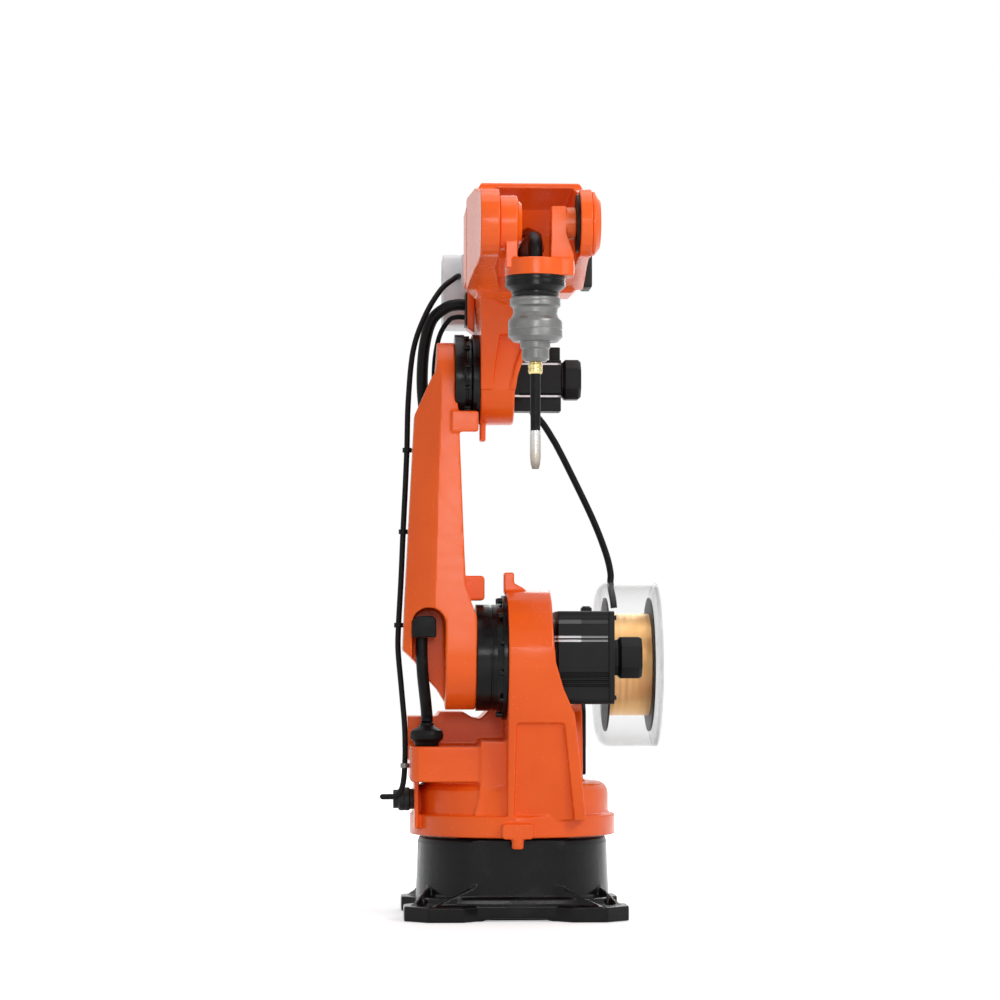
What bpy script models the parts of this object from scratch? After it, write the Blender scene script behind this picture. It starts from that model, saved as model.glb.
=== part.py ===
"""Welding robot arm, six axes, standing in its rest pose.

Metres, +Z up. The waist axis is the world Z axis, the floor is Z = 0 and the robot
faces -Y. Each moving body hangs under an empty that sits on its joint.
"""
import math

import bmesh
import bpy
from mathutils import Matrix, Vector

# Clearances
GAP = 0.0003
RUNNING_GAP = 0.0006

# Joint axes
SHOULDER_Y = -0.150
SHOULDER_Z = 0.555
LOWER_ARM_LENGTH = 0.5925
ELBOW_RISE = 0.244
FOREARM_REACH = 0.710
ELBOW_Z = SHOULDER_Z + LOWER_ARM_LENGTH
FOREARM_Z = ELBOW_Z + ELBOW_RISE
WRIST_Y = SHOULDER_Y - FOREARM_REACH

# Base casting
FOOT_HALF = 0.238
FOOT_HEIGHT = 0.032
FOOT_CHAMFER = 0.050
FOOT_SPAN = 0.155
FOOT_MARGIN = 0.028
SKIRT_HALF = FOOT_HALF - 0.032
SKIRT_HEIGHT = 0.047
BASE_DRAFT = 0.005
BASE_RADIUS_FOOT = FOOT_HALF - FOOT_MARGIN
BASE_RADIUS_TOP = BASE_RADIUS_FOOT - BASE_DRAFT
BASE_FLAT = BASE_RADIUS_TOP - 0.027
BASE_TOP = 0.171
GUSSET_TOP = 0.076
GUSSET_WALL = 0.012
BOLT_HOLE_RADIUS = 0.009
BOLT_INSET = 0.040

# Turntable, the round foot of the column
RIM_RADIUS = 0.222
RIM_BOTTOM = BASE_TOP + 0.004
RIM_HEIGHT = 0.0455
DOME_RADIUS = 0.208
DOME_TOP = 0.289
DOME_FILLET = 0.025
SPIGOT_RADIUS = 0.120
STOP_WIDTH = 0.066
STOP_PIN_RADIUS = 0.017
STOP_PIN_LENGTH = 0.022
STOP_REACH = 0.238

# Shoulder bracket on the turntable
BRACKET_LEFT = -0.021
BRACKET_HEAD_RIGHT = 0.072
BRACKET_FOOT_RIGHT = 0.147
BRACKET_HEAD_RADIUS = 0.144
BRACKET_FOOT_FRONT = -0.222
BRACKET_FOOT_REAR = 0.130
PANEL_DEPTH = 0.020
FIN_WIDTH = 0.022
FIN_TOP = 0.736

# Left side of the column
SHELF_LEFT = -0.224
SHELF_FRONT = -0.190
SHELF_BOTTOM = 0.292
SHELF_TOP = 0.367
WALL_FRONT = -0.060
WALL_REAR = 0.100
WALL_TOP = 0.429
WALL_STEP = 0.439
RIGHT_EAR_OUT = 0.154
GLAND_X = -0.1885
GLAND_Y = -0.130

# Shoulder drive
SHOULDER_REDUCER_RADIUS = 0.113
SHOULDER_FLANGE_RADIUS = 0.132
SHOULDER_FLANGE_WIDTH = 0.022
SHOULDER_MOTOR_HALF = 0.098
SHOULDER_MOTOR_LENGTH = 0.126
SHOULDER_ENCODER_HALF = 0.044
SHOULDER_ENCODER_LENGTH = 0.064

# Lower arm
HUB_RIGHT = -0.0863
HUB_LEFT = -0.150
HUB_RADIUS = 0.1105
ARM_TOP_RADIUS = 0.079
POCKET_LEFT = -0.222
POCKET_TOP = SHOULDER_Z + 0.105
POCKET_RADIUS = 0.034
POCKET_BACK = -0.165
GUIDE_WIDTH = 0.050
GUIDE_DROP = 0.062

# Elbow
ELBOW_REDUCER_RADIUS = 0.096
REDUCER_SEAT = -0.1315
ELBOW_HUB_LEFT = -0.079
ELBOW_HUB_RIGHT = -0.006
ELBOW_HUB_RADIUS = 0.097
ELBOW_MOTOR_HALF = 0.040
ELBOW_MOTOR_PLATE_HALF = 0.045
ELBOW_MOTOR_RIGHT = 0.095
ELBOW_ENCODER_RIGHT = 0.138
ROLL_HOUSING_RADIUS = 0.103
ROLL_HOUSING_FRONT = -0.345
ROLL_HOUSING_REAR = -0.035

CONNECTOR_PLATE_LEFT = -0.106
FEEDER_LEFT = -0.150
FEEDER_RIGHT = -0.055
FEEDER_FRONT = 0.000
FEEDER_REAR = 0.150
FEEDER_BOTTOM = FOREARM_Z - 0.1115
FEEDER_TOP = FOREARM_Z + 0.0435
LINER_TOP_X = -0.072
LINER_TOP_Y = 0.060

# Forearm
FOREARM_HALF = 0.120
FOREARM_BOTTOM = FOREARM_Z - 0.0945
FOREARM_TOP = FOREARM_Z + 0.1015
FOREARM_REAR = ROLL_HOUSING_FRONT - RUNNING_GAP
FOREARM_SHOULDER = -0.500
WEB_FRONT = -0.700
WEB_HALF = 0.0970
TINE_RADIUS = 0.066
CABLE_BORE = 0.036

# Wrist and torch, on the flange axis
RING_RADIUS = 0.059
RING_HEIGHT = 0.033
RING_TOP = FOREARM_Z - 0.0705
RING_BOTTOM = RING_TOP - RING_HEIGHT
LEFT_HEAD_RADIUS = 0.053
LEFT_HEAD_IN = -0.027
RIGHT_BOSS_RADIUS = 0.031
REDUCER_RING_HEIGHT = 0.040
SENSOR_LENGTH = 0.1245
NUT_LENGTH = 0.0235
NECK_RADIUS = 0.010
NECK_LENGTH = 0.109
NOZZLE_RADIUS = 0.0105
NOZZLE_LENGTH = 0.074
REDUCER_RING_BOTTOM = RING_BOTTOM - REDUCER_RING_HEIGHT
SENSOR_BOTTOM = REDUCER_RING_BOTTOM - SENSOR_LENGTH
NUT_BOTTOM = SENSOR_BOTTOM - NUT_LENGTH
NECK_BOTTOM = NUT_BOTTOM - NECK_LENGTH
NOZZLE_BOTTOM = NECK_BOTTOM - NOZZLE_LENGTH

# Wire spool in its clear drum
SPOOL_Y = 0.250
SPOOL_Z = 0.540
SPOOL_CENTRE_X = 0.272
SPOOL_WIDTH = 0.103
SPOOL_RADIUS = 0.150
WINDING_RADIUS = 0.115
SPOOL_HUB_RADIUS = 0.050
SPINDLE_RADIUS = 0.025
DRUM_RADIUS = 0.185
DRUM_LEFT = 0.203
DRUM_RIGHT = 0.338
DRUM_WALL = 0.003
DRUM_FILLET = 0.028
SPOOL_PLATE_LEFT = RIGHT_EAR_OUT + GAP
SPOOL_PLATE_WALL = 0.008

# Leads
THIN_LEAD = 0.012
THICK_LEAD = 0.025
LINER = 0.015
TORCH_LEAD = 0.028
CLIP_HALF = 0.004

# Facets round a turned piece
FINE = 40
MEDIUM = 24
COARSE = 16


def clear_scene():
    for old in list(bpy.data.objects):
        bpy.data.objects.remove(old, do_unlink=True)


def finish(name, colour, roughness, metallic=0.0):
    made = bpy.data.materials.new(name)
    made.use_nodes = True
    shader = made.node_tree.nodes["Principled BSDF"]
    shader.inputs["Base Color"].default_value = (*colour, 1.0)
    shader.inputs["Roughness"].default_value = roughness
    shader.inputs["Metallic"].default_value = metallic
    made.diffuse_color = (*colour, 1.0)
    return made


def orange_paint():
    return finish("orange_paint", (0.86, 0.13, 0.02), 0.32)


def black_casting():
    return finish("black_casting", (0.016, 0.016, 0.018), 0.30)


def black_motor():
    return finish("black_motor", (0.02, 0.02, 0.021), 0.45)


def black_rubber():
    return finish("black_rubber", (0.012, 0.012, 0.012), 0.55)


def black_plastic():
    return finish("black_plastic", (0.018, 0.018, 0.02), 0.5)


def grey_metal():
    return finish("grey_metal", (0.30, 0.30, 0.30), 0.35, 0.9)


def brass():
    return finish("brass", (0.60, 0.50, 0.22), 0.30, 1.0)


def bright_nozzle():
    return finish("bright_nozzle", (0.60, 0.58, 0.55), 0.28, 1.0)


def clear_plastic():
    return finish("clear_plastic", (0.92, 0.94, 0.95), 0.06)


def copper_wire():
    return finish("copper_wire", (0.72, 0.38, 0.14), 0.35, 1.0)


def grey_paint():
    return finish("grey_paint", (0.62, 0.63, 0.64), 0.4)


# Joint empties, by body name
PIVOTS = {}


def pivot(body, place, parent=None):
    made = bpy.data.objects.new(body + "_pivot", None)
    bpy.context.collection.objects.link(made)
    if parent:
        made.parent = PIVOTS[parent][0]
        made.location = Vector(place) - PIVOTS[parent][1]
    else:
        made.location = place
    PIVOTS[body] = (made, Vector(place))


def make_pivots():
    pivot("base", (0, 0, 0))
    pivot("column", (0, 0, RIM_BOTTOM), "base")
    pivot("lower_arm", (0, SHOULDER_Y, SHOULDER_Z), "column")
    pivot("elbow", (0, SHOULDER_Y, ELBOW_Z), "lower_arm")
    pivot("forearm", (0, ROLL_HOUSING_FRONT, FOREARM_Z), "elbow")
    pivot("wrist", (0, WRIST_Y, FOREARM_Z), "forearm")
    pivot("torch", (0, WRIST_Y, REDUCER_RING_BOTTOM), "wrist")
    pivot("spool", (SPOOL_CENTRE_X, SPOOL_Y, SPOOL_Z), "column")


def new_object(name, bm, body, look=None, smooth=False):
    """Makes an object of a mesh that is given in world places, and hangs it on its body."""
    empty, origin = PIVOTS[body]
    bmesh.ops.translate(bm, verts=bm.verts, vec=-origin)
    bmesh.ops.recalc_face_normals(bm, faces=bm.faces)
    mesh = bpy.data.meshes.new(name)
    bm.to_mesh(mesh)
    bm.free()
    made = bpy.data.objects.new(name, mesh)
    bpy.context.collection.objects.link(made)
    made.parent = empty
    if look:
        mesh.materials.append(look)
    if smooth:
        mesh.shade_smooth()
        mesh.set_sharp_from_angle(angle=math.radians(35))
    return made


def on_plane(along, level, u, v):
    """Places the plane point (u, v) at a level along X, Y or Z."""
    if along == "X":
        return (level, u, v)
    if along == "Y":
        return (u, level, v)
    return (u, v, level)


def rounded(corners, steps=4):
    """Outline whose corners (u, v, radius) are arcs."""
    outline = []
    count = len(corners)
    for index, (u, v, radius) in enumerate(corners):
        here = Vector((u, v))
        if radius <= 0:
            outline.append((u, v))
            continue
        before = (Vector(corners[index - 1][:2]) - here).normalized()
        after = (Vector(corners[(index + 1) % count][:2]) - here).normalized()
        half = before.angle(after) / 2
        centre = here + (before + after).normalized() * radius / math.sin(half)
        first = here + before * radius / math.tan(half) - centre
        last = here + after * radius / math.tan(half) - centre
        sweep = first.angle_signed(last)
        for step in range(steps + 1):
            turned_by = Matrix.Rotation(-sweep * step / steps, 2)
            point = centre + turned_by @ first
            outline.append((point.x, point.y))
    return outline


def from_height(height, points):
    """Points whose last number is counted up from this height."""
    return [(*point[:-1], height + point[-1]) for point in points]


def box_outline(low_u, low_v, high_u, high_v, radius=0.0, steps=4):
    corners = [(low_u, low_v), (high_u, low_v), (high_u, high_v), (low_u, high_v)]
    return rounded([(u, v, radius) for u, v in corners], steps)


def circle(centre_u, centre_v, radius, count):
    turns = [math.tau * index / count for index in range(count)]
    return [(centre_u + radius * math.cos(t), centre_v + radius * math.sin(t)) for t in turns]


def bridge(sections):
    """Mesh through closed sections of equal count, with flat ends."""
    bm = bmesh.new()
    rings = [[bm.verts.new(point) for point in section] for section in sections]
    for lower, upper in zip(rings, rings[1:]):
        for index in range(len(lower)):
            after = (index + 1) % len(lower)
            bm.faces.new((lower[index], lower[after], upper[after], upper[index]))
    bm.faces.new(rings[0][::-1])
    bm.faces.new(rings[-1])
    return bm


def extruded(outline, along, low, high):
    return bridge([[on_plane(along, level, u, v) for u, v in outline] for level in (low, high)])


def lofted(along, outlines):
    """Outlines of equal count, each given with its level."""
    return bridge([[on_plane(along, level, u, v) for u, v in line] for level, line in outlines])


def turned(profile, along, centre_u, centre_v, count):
    """Solid of revolution: the profile is (radius, level) from one end to the other."""
    inner = profile[1:-1] if profile[0][0] == 0 else profile
    bm = bmesh.new()
    rings = []
    for radius, level in inner:
        line = circle(centre_u, centre_v, radius, count)
        rings.append([bm.verts.new(on_plane(along, level, u, v)) for u, v in line])
    open_ends = profile[0][0] == 0
    pairs = list(zip(rings, rings[1:])) + ([] if open_ends else [(rings[-1], rings[0])])
    for lower, upper in pairs:
        for index in range(count):
            after = (index + 1) % count
            bm.faces.new((lower[index], lower[after], upper[after], upper[index]))
    if open_ends:
        bm.faces.new(rings[0][::-1])
        bm.faces.new(rings[-1])
    return bm


def disc(radius, low, high, chamfer=0.0):
    """Profile of a plain turned disc, for turned()."""
    if chamfer <= 0:
        return [(0, low), (radius, low), (radius, high), (0, high)]
    return [(0, low), (radius - chamfer, low), (radius, low + chamfer),
            (radius, high - chamfer), (radius - chamfer, high), (0, high)]


def use_boolean(target, tool, operation):
    step = target.modifiers.new(operation.lower(), "BOOLEAN")
    step.operation = operation
    step.object = tool
    step.solver = "EXACT"
    tool.hide_render = True
    tool.display_type = "WIRE"
    return target


def shape(bm, body, name="form"):
    """A helper solid for a Boolean step, which the build leaves out."""
    made = new_object(name, bm, body)
    made.hide_render = True
    made.display_type = "WIRE"
    return made


def add(target, bm, body):
    return use_boolean(target, shape(bm, body), "UNION")


def cut(target, bm, body):
    return use_boolean(target, shape(bm, body), "DIFFERENCE")


def keep_within(target, bm, body):
    return use_boolean(target, shape(bm, body), "INTERSECT")


def round_with_flats(radius, flat, level):
    """Circle with a flat front and rear, as one section with a fixed count of points."""
    return [(u, max(-flat, min(flat, v)), level) for u, v in circle(0, 0, radius, 48)]


def base_casting(look):
    body = bridge([round_with_flats(BASE_RADIUS_FOOT, BASE_FLAT + 0.004, 0.0),
                   round_with_flats(BASE_RADIUS_TOP, BASE_FLAT, BASE_TOP - 0.012),
                   round_with_flats(BASE_RADIUS_TOP - 0.004, BASE_FLAT, BASE_TOP)])
    made = new_object("base_casting", body, "base", look, smooth=True)
    inner = FOOT_HALF - FOOT_SPAN
    slope = FOOT_HALF - SKIRT_HALF
    side = [(FOOT_HALF, inner + slope), (FOOT_HALF, FOOT_HALF - FOOT_CHAMFER),
            (FOOT_HALF - FOOT_CHAMFER, FOOT_HALF), (inner + slope, FOOT_HALF), (inner, SKIRT_HALF)]
    outline = []
    for quarter in range(4):
        spin = Matrix.Rotation(quarter * math.pi / 2, 2)
        outline += [tuple(spin @ Vector(point)) for point in side]
        outline.append(tuple(spin @ Vector((-inner, SKIRT_HALF))))
    add(made, extruded(outline, "Z", 0.0, FOOT_HEIGHT), "base")
    skirt = box_outline(-SKIRT_HALF + 0.003, -SKIRT_HALF + 0.003,
                        SKIRT_HALF - 0.003, SKIRT_HALF - 0.003, 0.09, 5)
    add(made, extruded(skirt, "Z", 0.004, SKIRT_HEIGHT), "base")
    for quarter in range(4):
        for mirror in (1, -1):
            add(made, gusset(quarter, mirror), "base")
    for x in (-1, 1):
        for y in (-1, 1):
            place = FOOT_HALF - BOLT_INSET
            hole = turned(disc(BOLT_HOLE_RADIUS, -0.01, FOOT_HEIGHT + 0.01), "Z",
                          x * place, y * place, 12)
            cut(made, hole, "base")
    arch = [(-0.075, -0.001), (0.075, -0.001), (0.055, 0.006), (-0.055, 0.006)]
    for along in ("X", "Y"):
        for side in (-1, 1):
            ends = sorted((side * (SKIRT_HALF - 0.035), side * (SKIRT_HALF + 0.05)))
            cut(made, extruded(arch, along, *ends), "base")
    return made


def gusset(quarter, mirror):
    """Sloping wall from a foot up to the side of the body."""
    foot = Vector((FOOT_HALF - 0.062, FOOT_HALF - 0.022))
    root = Vector((0.080, BASE_FLAT - 0.004))
    across = (root - foot).orthogonal().normalized() * GUSSET_WALL / 2
    run = [(foot, FOOT_HEIGHT + 0.002), (root, GUSSET_TOP)]
    bm = bmesh.new()
    rings = []
    for place, top in run:
        ring = []
        for offset, level in ((-1, 0.010), (1, 0.010), (1, top), (-1, top)):
            point = place + across * offset
            point = Vector((point.x * mirror, point.y))
            point = Matrix.Rotation(quarter * math.pi / 2, 2) @ point
            ring.append(bm.verts.new((point.x, point.y, level)))
        rings.append(ring)
    for index in range(4):
        after = (index + 1) % 4
        bm.faces.new((rings[0][index], rings[0][after], rings[1][after], rings[1][index]))
    bm.faces.new(rings[0][::-1])
    bm.faces.new(rings[1])
    return bm


def dome_profile():
    shoulder = []
    for step in range(5):
        turn = math.pi / 2 * step / 4
        shoulder.append((DOME_RADIUS - DOME_FILLET * (1 - math.cos(turn)),
                         DOME_TOP - DOME_FILLET * (1 - math.sin(turn))))
    rim_top = RIM_BOTTOM + RIM_HEIGHT
    return [(0, BASE_TOP + GAP), (SPIGOT_RADIUS, BASE_TOP + GAP), (SPIGOT_RADIUS, RIM_BOTTOM),
            (RIM_RADIUS, RIM_BOTTOM), (RIM_RADIUS, rim_top), (DOME_RADIUS, rim_top),
            *shoulder, (0, DOME_TOP)]


def bracket_side_view():
    """The bracket from the side: a round head on a foot that widens to the dome."""
    head = []
    for step in range(15):
        turn = math.radians(-24 + step * (228 / 14))
        head.append((SHOULDER_Y + BRACKET_HEAD_RADIUS * math.cos(turn),
                     SHOULDER_Z + BRACKET_HEAD_RADIUS * math.sin(turn)))
    foot = RIM_BOTTOM + RIM_HEIGHT - 0.008
    return [(BRACKET_FOOT_FRONT, foot), (BRACKET_FOOT_REAR, foot), *head]


def bracket_front_view():
    foot = RIM_BOTTOM + 0.02
    return [(BRACKET_LEFT, foot), (BRACKET_FOOT_RIGHT, foot), (0.138, 0.280), (0.118, 0.437),
            (0.094, 0.490), (0.077, 0.545), (0.073, 0.595), (BRACKET_HEAD_RIGHT, 0.640),
            (BRACKET_HEAD_RIGHT, 0.72), (BRACKET_LEFT, 0.72)]


def front_panel():
    """Cutter for the recess between the two ribs of the bracket's sloping front."""
    foot, head = RIM_BOTTOM + RIM_HEIGHT - 0.010, 0.418
    front_at = [(foot, BRACKET_FOOT_FRONT - 0.004), (head, BRACKET_FOOT_FRONT - 0.0525)]
    bm = bmesh.new()
    rings = []
    for (level, front), (left, right) in zip(front_at, ((-0.007, 0.120), (-0.004, 0.096))):
        depth = front + PANEL_DEPTH
        ring = [(left, front - 0.05, level), (right, front - 0.05, level),
                (right, depth, level), (left, depth, level)]
        rings.append([bm.verts.new(point) for point in ring])
    for index in range(4):
        after = (index + 1) % 4
        bm.faces.new((rings[0][index], rings[0][after], rings[1][after], rings[1][index]))
    bm.faces.new(rings[0][::-1])
    bm.faces.new(rings[1])
    return bm


def column_casting(look):
    made = new_object("column_casting", turned(dome_profile(), "Z", 0, 0, 48), "column", look, True)
    bracket = shape(extruded(bracket_side_view(), "X", BRACKET_LEFT, BRACKET_FOOT_RIGHT), "column")
    keep_within(bracket, extruded(bracket_front_view(), "Y", -0.5, 0.4), "column")
    room = SHOULDER_MOTOR_HALF + 0.004
    seat = box_outline(SHOULDER_Y - room, SHOULDER_Z - room, SHOULDER_Y + room, SHOULDER_Z + 0.3, 0.02, 2)
    cut(bracket, extruded(seat, "X", BRACKET_HEAD_RIGHT, BRACKET_FOOT_RIGHT + 0.05), "column")
    cut(bracket, front_panel(), "column")
    use_boolean(made, bracket, "UNION")
    clear_of_flange = SHOULDER_Z + SHOULDER_FLANGE_RADIUS + 0.003
    fin = [(BRACKET_LEFT - 0.005, clear_of_flange), (BRACKET_LEFT + 0.001, clear_of_flange),
           (BRACKET_LEFT + 0.001, 0.62), (0.030, 0.62), (0.030, 0.690), (0.014, 0.704),
           (BRACKET_LEFT + FIN_WIDTH - 0.005, 0.713), (BRACKET_LEFT + FIN_WIDTH - 0.005, FIN_TOP),
           (BRACKET_LEFT - 0.005, FIN_TOP)]
    add(made, extruded(fin, "Y", SHOULDER_Y - 0.022, SHOULDER_Y + 0.022), "column")
    shelf = rounded([(SHELF_LEFT, SHELF_FRONT, 0.03), (-0.02, SHELF_FRONT, 0), (-0.02, WALL_REAR, 0),
                     (SHELF_LEFT, WALL_REAR, 0.03)])
    add(made, extruded(shelf, "Z", SHELF_BOTTOM, SHELF_TOP), "column")
    wall = [(SHELF_LEFT - 0.004, SHELF_TOP - 0.03), (-0.015, SHELF_TOP - 0.03), (-0.015, 0.452),
            (-0.050, 0.446), (-0.070, WALL_TOP - 0.004), (-0.088, WALL_TOP - 0.002),
            (-0.108, WALL_STEP), (-0.160, WALL_STEP), (-0.163, WALL_TOP), (SHELF_LEFT - 0.004, WALL_TOP)]
    add(made, extruded(wall, "Y", WALL_FRONT, WALL_REAR), "column")
    web = [(-0.092, 0.215), (-0.02, 0.215), (-0.02, SHELF_TOP + 0.012), (-0.076, SHELF_TOP + 0.012),
           (-0.076, 0.31), (-0.080, 0.262)]
    add(made, extruded(web, "Y", SHELF_FRONT - 0.006, 0.08), "column")
    cheek = [(-0.105, 0.19), (0.085, 0.19), (0.085, 0.33), (-0.105, 0.33)]
    add(made, extruded(cheek, "X", -0.2145, -0.2045), "column")
    ear = rounded([(-0.010, 0.265, 0), (0.145, 0.265, 0), (0.145, 0.455, 0.03), (0.010, 0.455, 0.03)])
    add(made, extruded(ear, "X", 0.100, RIGHT_EAR_OUT), "column")
    boss = box_outline(-STOP_WIDTH / 2, RIM_BOTTOM - 0.001, STOP_WIDTH / 2, RIM_BOTTOM + 0.031, 0.004, 1)
    add(made, extruded(boss, "Y", -STOP_REACH, -RIM_RADIUS + 0.03), "column")
    pin_y = -STOP_REACH + STOP_PIN_RADIUS - 0.006
    pin = turned(disc(STOP_PIN_RADIUS - 0.004, RIM_BOTTOM - STOP_PIN_LENGTH, RIM_BOTTOM + 0.01, 0.001),
                 "Z", 0, pin_y, COARSE)
    add(made, pin, "column")
    return made


def column_socket(look):
    face = -0.2145 - GAP
    profile = [(0, face), (0.022, face), (0.022, face - 0.008), (0.025, face - 0.010),
               (0.025, face - 0.030), (0.020, face - 0.034), (0.020, face - 0.044), (0, face - 0.044)]
    return new_object("column_socket", turned(profile, "X", -0.055, 0.252, MEDIUM), "column", look, True)


def shoulder_reducer(look):
    flange = BRACKET_LEFT - GAP
    inner = HUB_RIGHT + GAP
    profile = [(0, flange), (SHOULDER_FLANGE_RADIUS, flange),
               (SHOULDER_FLANGE_RADIUS, flange - SHOULDER_FLANGE_WIDTH * 0.45),
               (SHOULDER_REDUCER_RADIUS + 0.006, flange - SHOULDER_FLANGE_WIDTH * 0.45),
               (SHOULDER_REDUCER_RADIUS, flange - SHOULDER_FLANGE_WIDTH),
               (SHOULDER_REDUCER_RADIUS, inner), (0, inner)]
    made = new_object("shoulder_reducer", turned(profile, "X", SHOULDER_Y, SHOULDER_Z, FINE),
                      "column", look, True)
    heads = ring_of_bolts(12, (SHOULDER_FLANGE_RADIUS + SHOULDER_REDUCER_RADIUS) / 2 + 0.002, 0.006,
                          flange - SHOULDER_FLANGE_WIDTH + 0.002, flange - 0.002)
    for head in heads:
        add(made, head, "column")
    return made


def ring_of_bolts(count, ring, radius, low, high, centre=(SHOULDER_Y, SHOULDER_Z)):
    found = []
    for index in range(count):
        turn = math.tau * (index + 0.5) / count
        found.append(turned(disc(radius, low, high), "X", centre[0] + ring * math.cos(turn),
                            centre[1] + ring * math.sin(turn), 6))
    return found


def finned_outline(half, centre, groove, count):
    """Square motor body with shallow cooling grooves along its front and rear."""
    v = centre[1]
    u = centre[0]
    pitch = 2 * half / (count + 2)
    front = []
    for index in range(count):
        low = v - half + pitch * (index + 1.3)
        front += [(u - half, low), (u - half + groove, low), (u - half + groove, low + pitch * 0.4),
                  (u - half, low + pitch * 0.4)]
    rear = [(2 * u - a, 2 * v - b) for a, b in front]
    edge = half * 0.16
    return ([(u - half + edge, v - half), (u - half, v - half + edge)] + front
            + [(u - half, v + half - edge), (u - half + edge, v + half),
               (u + half - edge, v + half), (u + half, v + half - edge)] + rear
            + [(u + half, v - half + edge), (u + half - edge, v - half)])


def shoulder_motor(look):
    left = BRACKET_HEAD_RIGHT + GAP
    right = left + SHOULDER_MOTOR_LENGTH + 0.005
    centre = (SHOULDER_Y, SHOULDER_Z)
    made = new_object("shoulder_motor",
                      extruded(finned_outline(SHOULDER_MOTOR_HALF, centre, 0.006, 7), "X",
                               left + 0.012, right - 0.010), "column", look)
    spigot = turned(disc(SHOULDER_MOTOR_HALF * 0.86, left, left + 0.02), "X", *centre, FINE)
    add(made, spigot, "column")
    plate = box_outline(centre[0] - SHOULDER_MOTOR_HALF, centre[1] - SHOULDER_MOTOR_HALF,
                        centre[0] + SHOULDER_MOTOR_HALF, centre[1] + SHOULDER_MOTOR_HALF, 0.014, 2)
    add(made, extruded(plate, "X", right - 0.012, right), "column")
    plug = [(right - 0.066, centre[1] + SHOULDER_MOTOR_HALF - 0.01),
            (right - 0.042, centre[1] + SHOULDER_MOTOR_HALF - 0.01),
            (right - 0.042, centre[1] + SHOULDER_MOTOR_HALF + 0.006),
            (right - 0.066, centre[1] + SHOULDER_MOTOR_HALF + 0.012)]
    add(made, extruded(plug, "Y", centre[0] - 0.02, centre[0] + 0.02), "column")
    return made


def encoder_profile(centre, half, reach, left, right):
    """Encoder cap: a collar by the motor and a boxy cap with cut corners."""
    collar = box_outline(centre[0] - half * 0.86, centre[1] - half * 0.86,
                         centre[0] + half * 0.86, centre[1] + half * 0.86, half * 0.4, 2)
    cap = box_outline(centre[0] - half, centre[1] - half, centre[0] + half, centre[1] + half,
                      half * 0.32, 2)
    tip = box_outline(centre[0] - half * 0.88, centre[1] - half * 0.88,
                      centre[0] + half * 0.88, centre[1] + half * 0.88, half * 0.32, 2)
    return [(left, collar), (left + reach, collar), (left + reach + 0.006, cap),
            (right - 0.006, cap), (right, tip)]


def shoulder_encoder(look):
    left = BRACKET_HEAD_RIGHT + GAP + SHOULDER_MOTOR_LENGTH + 0.005 + GAP
    form = encoder_profile((SHOULDER_Y, SHOULDER_Z), SHOULDER_ENCODER_HALF, 0.014,
                           left, left + SHOULDER_ENCODER_LENGTH)
    return new_object("shoulder_encoder", lofted("X", form), "column", look)


def hose_gland(look):
    seat = SHELF_TOP + GAP
    profile = [(0, seat), (0.030, seat), (0.0355, seat + 0.010), (0.0355, seat + 0.026),
               (0.031, seat + 0.033), (0.018, seat + 0.036), (0.018, seat + 0.050), (0, seat + 0.050)]
    return new_object("hose_gland", turned(profile, "Z", GLAND_X, GLAND_Y, MEDIUM), "column", look, True)


def spool_bracket(look):
    low = SPOOL_PLATE_LEFT
    plate = rounded([(0.020, 0.300, 0.01), (0.135, 0.300, 0.02), (SPOOL_Y + 0.055, SPOOL_Z - 0.04, 0.03),
                     (SPOOL_Y + 0.055, SPOOL_Z + 0.06, 0.04), (SPOOL_Y - 0.055, SPOOL_Z + 0.06, 0.04),
                     (0.020, 0.440, 0.02)])
    made = new_object("spool_bracket", extruded(plate, "X", low, low + SPOOL_PLATE_WALL), "column", look)
    boss = turned(disc(0.045, low + SPOOL_PLATE_WALL - 0.002, DRUM_LEFT - GAP), "X",
                  SPOOL_Y, SPOOL_Z, MEDIUM)
    return add(made, boss, "column")


def spool_spindle(look):
    start = DRUM_LEFT + DRUM_WALL + GAP
    left = SPOOL_CENTRE_X - SPOOL_WIDTH / 2
    right = SPOOL_CENTRE_X + SPOOL_WIDTH / 2
    profile = [(0, start), (0.045, start), (0.045, left - 0.002), (SPINDLE_RADIUS, left - 0.002),
               (SPINDLE_RADIUS, right + 0.003), (0, right + 0.003)]
    return new_object("spool_spindle", turned(profile, "X", SPOOL_Y, SPOOL_Z, MEDIUM), "column", look, True)


def drum_profile():
    arc = []
    for step in range(5):
        turn = math.pi / 2 * step / 4
        arc.append((DRUM_RADIUS - DRUM_FILLET * (1 - math.sin(turn)),
                    DRUM_LEFT + DRUM_FILLET * (1 - math.cos(turn))))
    inner = DRUM_FILLET - DRUM_WALL
    back = []
    for step in range(5):
        turn = math.pi / 2 * step / 4
        back.append((DRUM_RADIUS - DRUM_WALL - inner * (1 - math.sin(turn)),
                     DRUM_LEFT + DRUM_WALL + inner * (1 - math.cos(turn))))
    end = DRUM_RIGHT - DRUM_WALL - GAP
    return [(0, DRUM_LEFT), *arc, (DRUM_RADIUS, end), (DRUM_RADIUS - DRUM_WALL, end),
            *back[::-1], (0, DRUM_LEFT + DRUM_WALL)]


def spool_drum(look):
    return new_object("spool_drum", turned(drum_profile(), "X", SPOOL_Y, SPOOL_Z, FINE),
                      "column", look, True)


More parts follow.
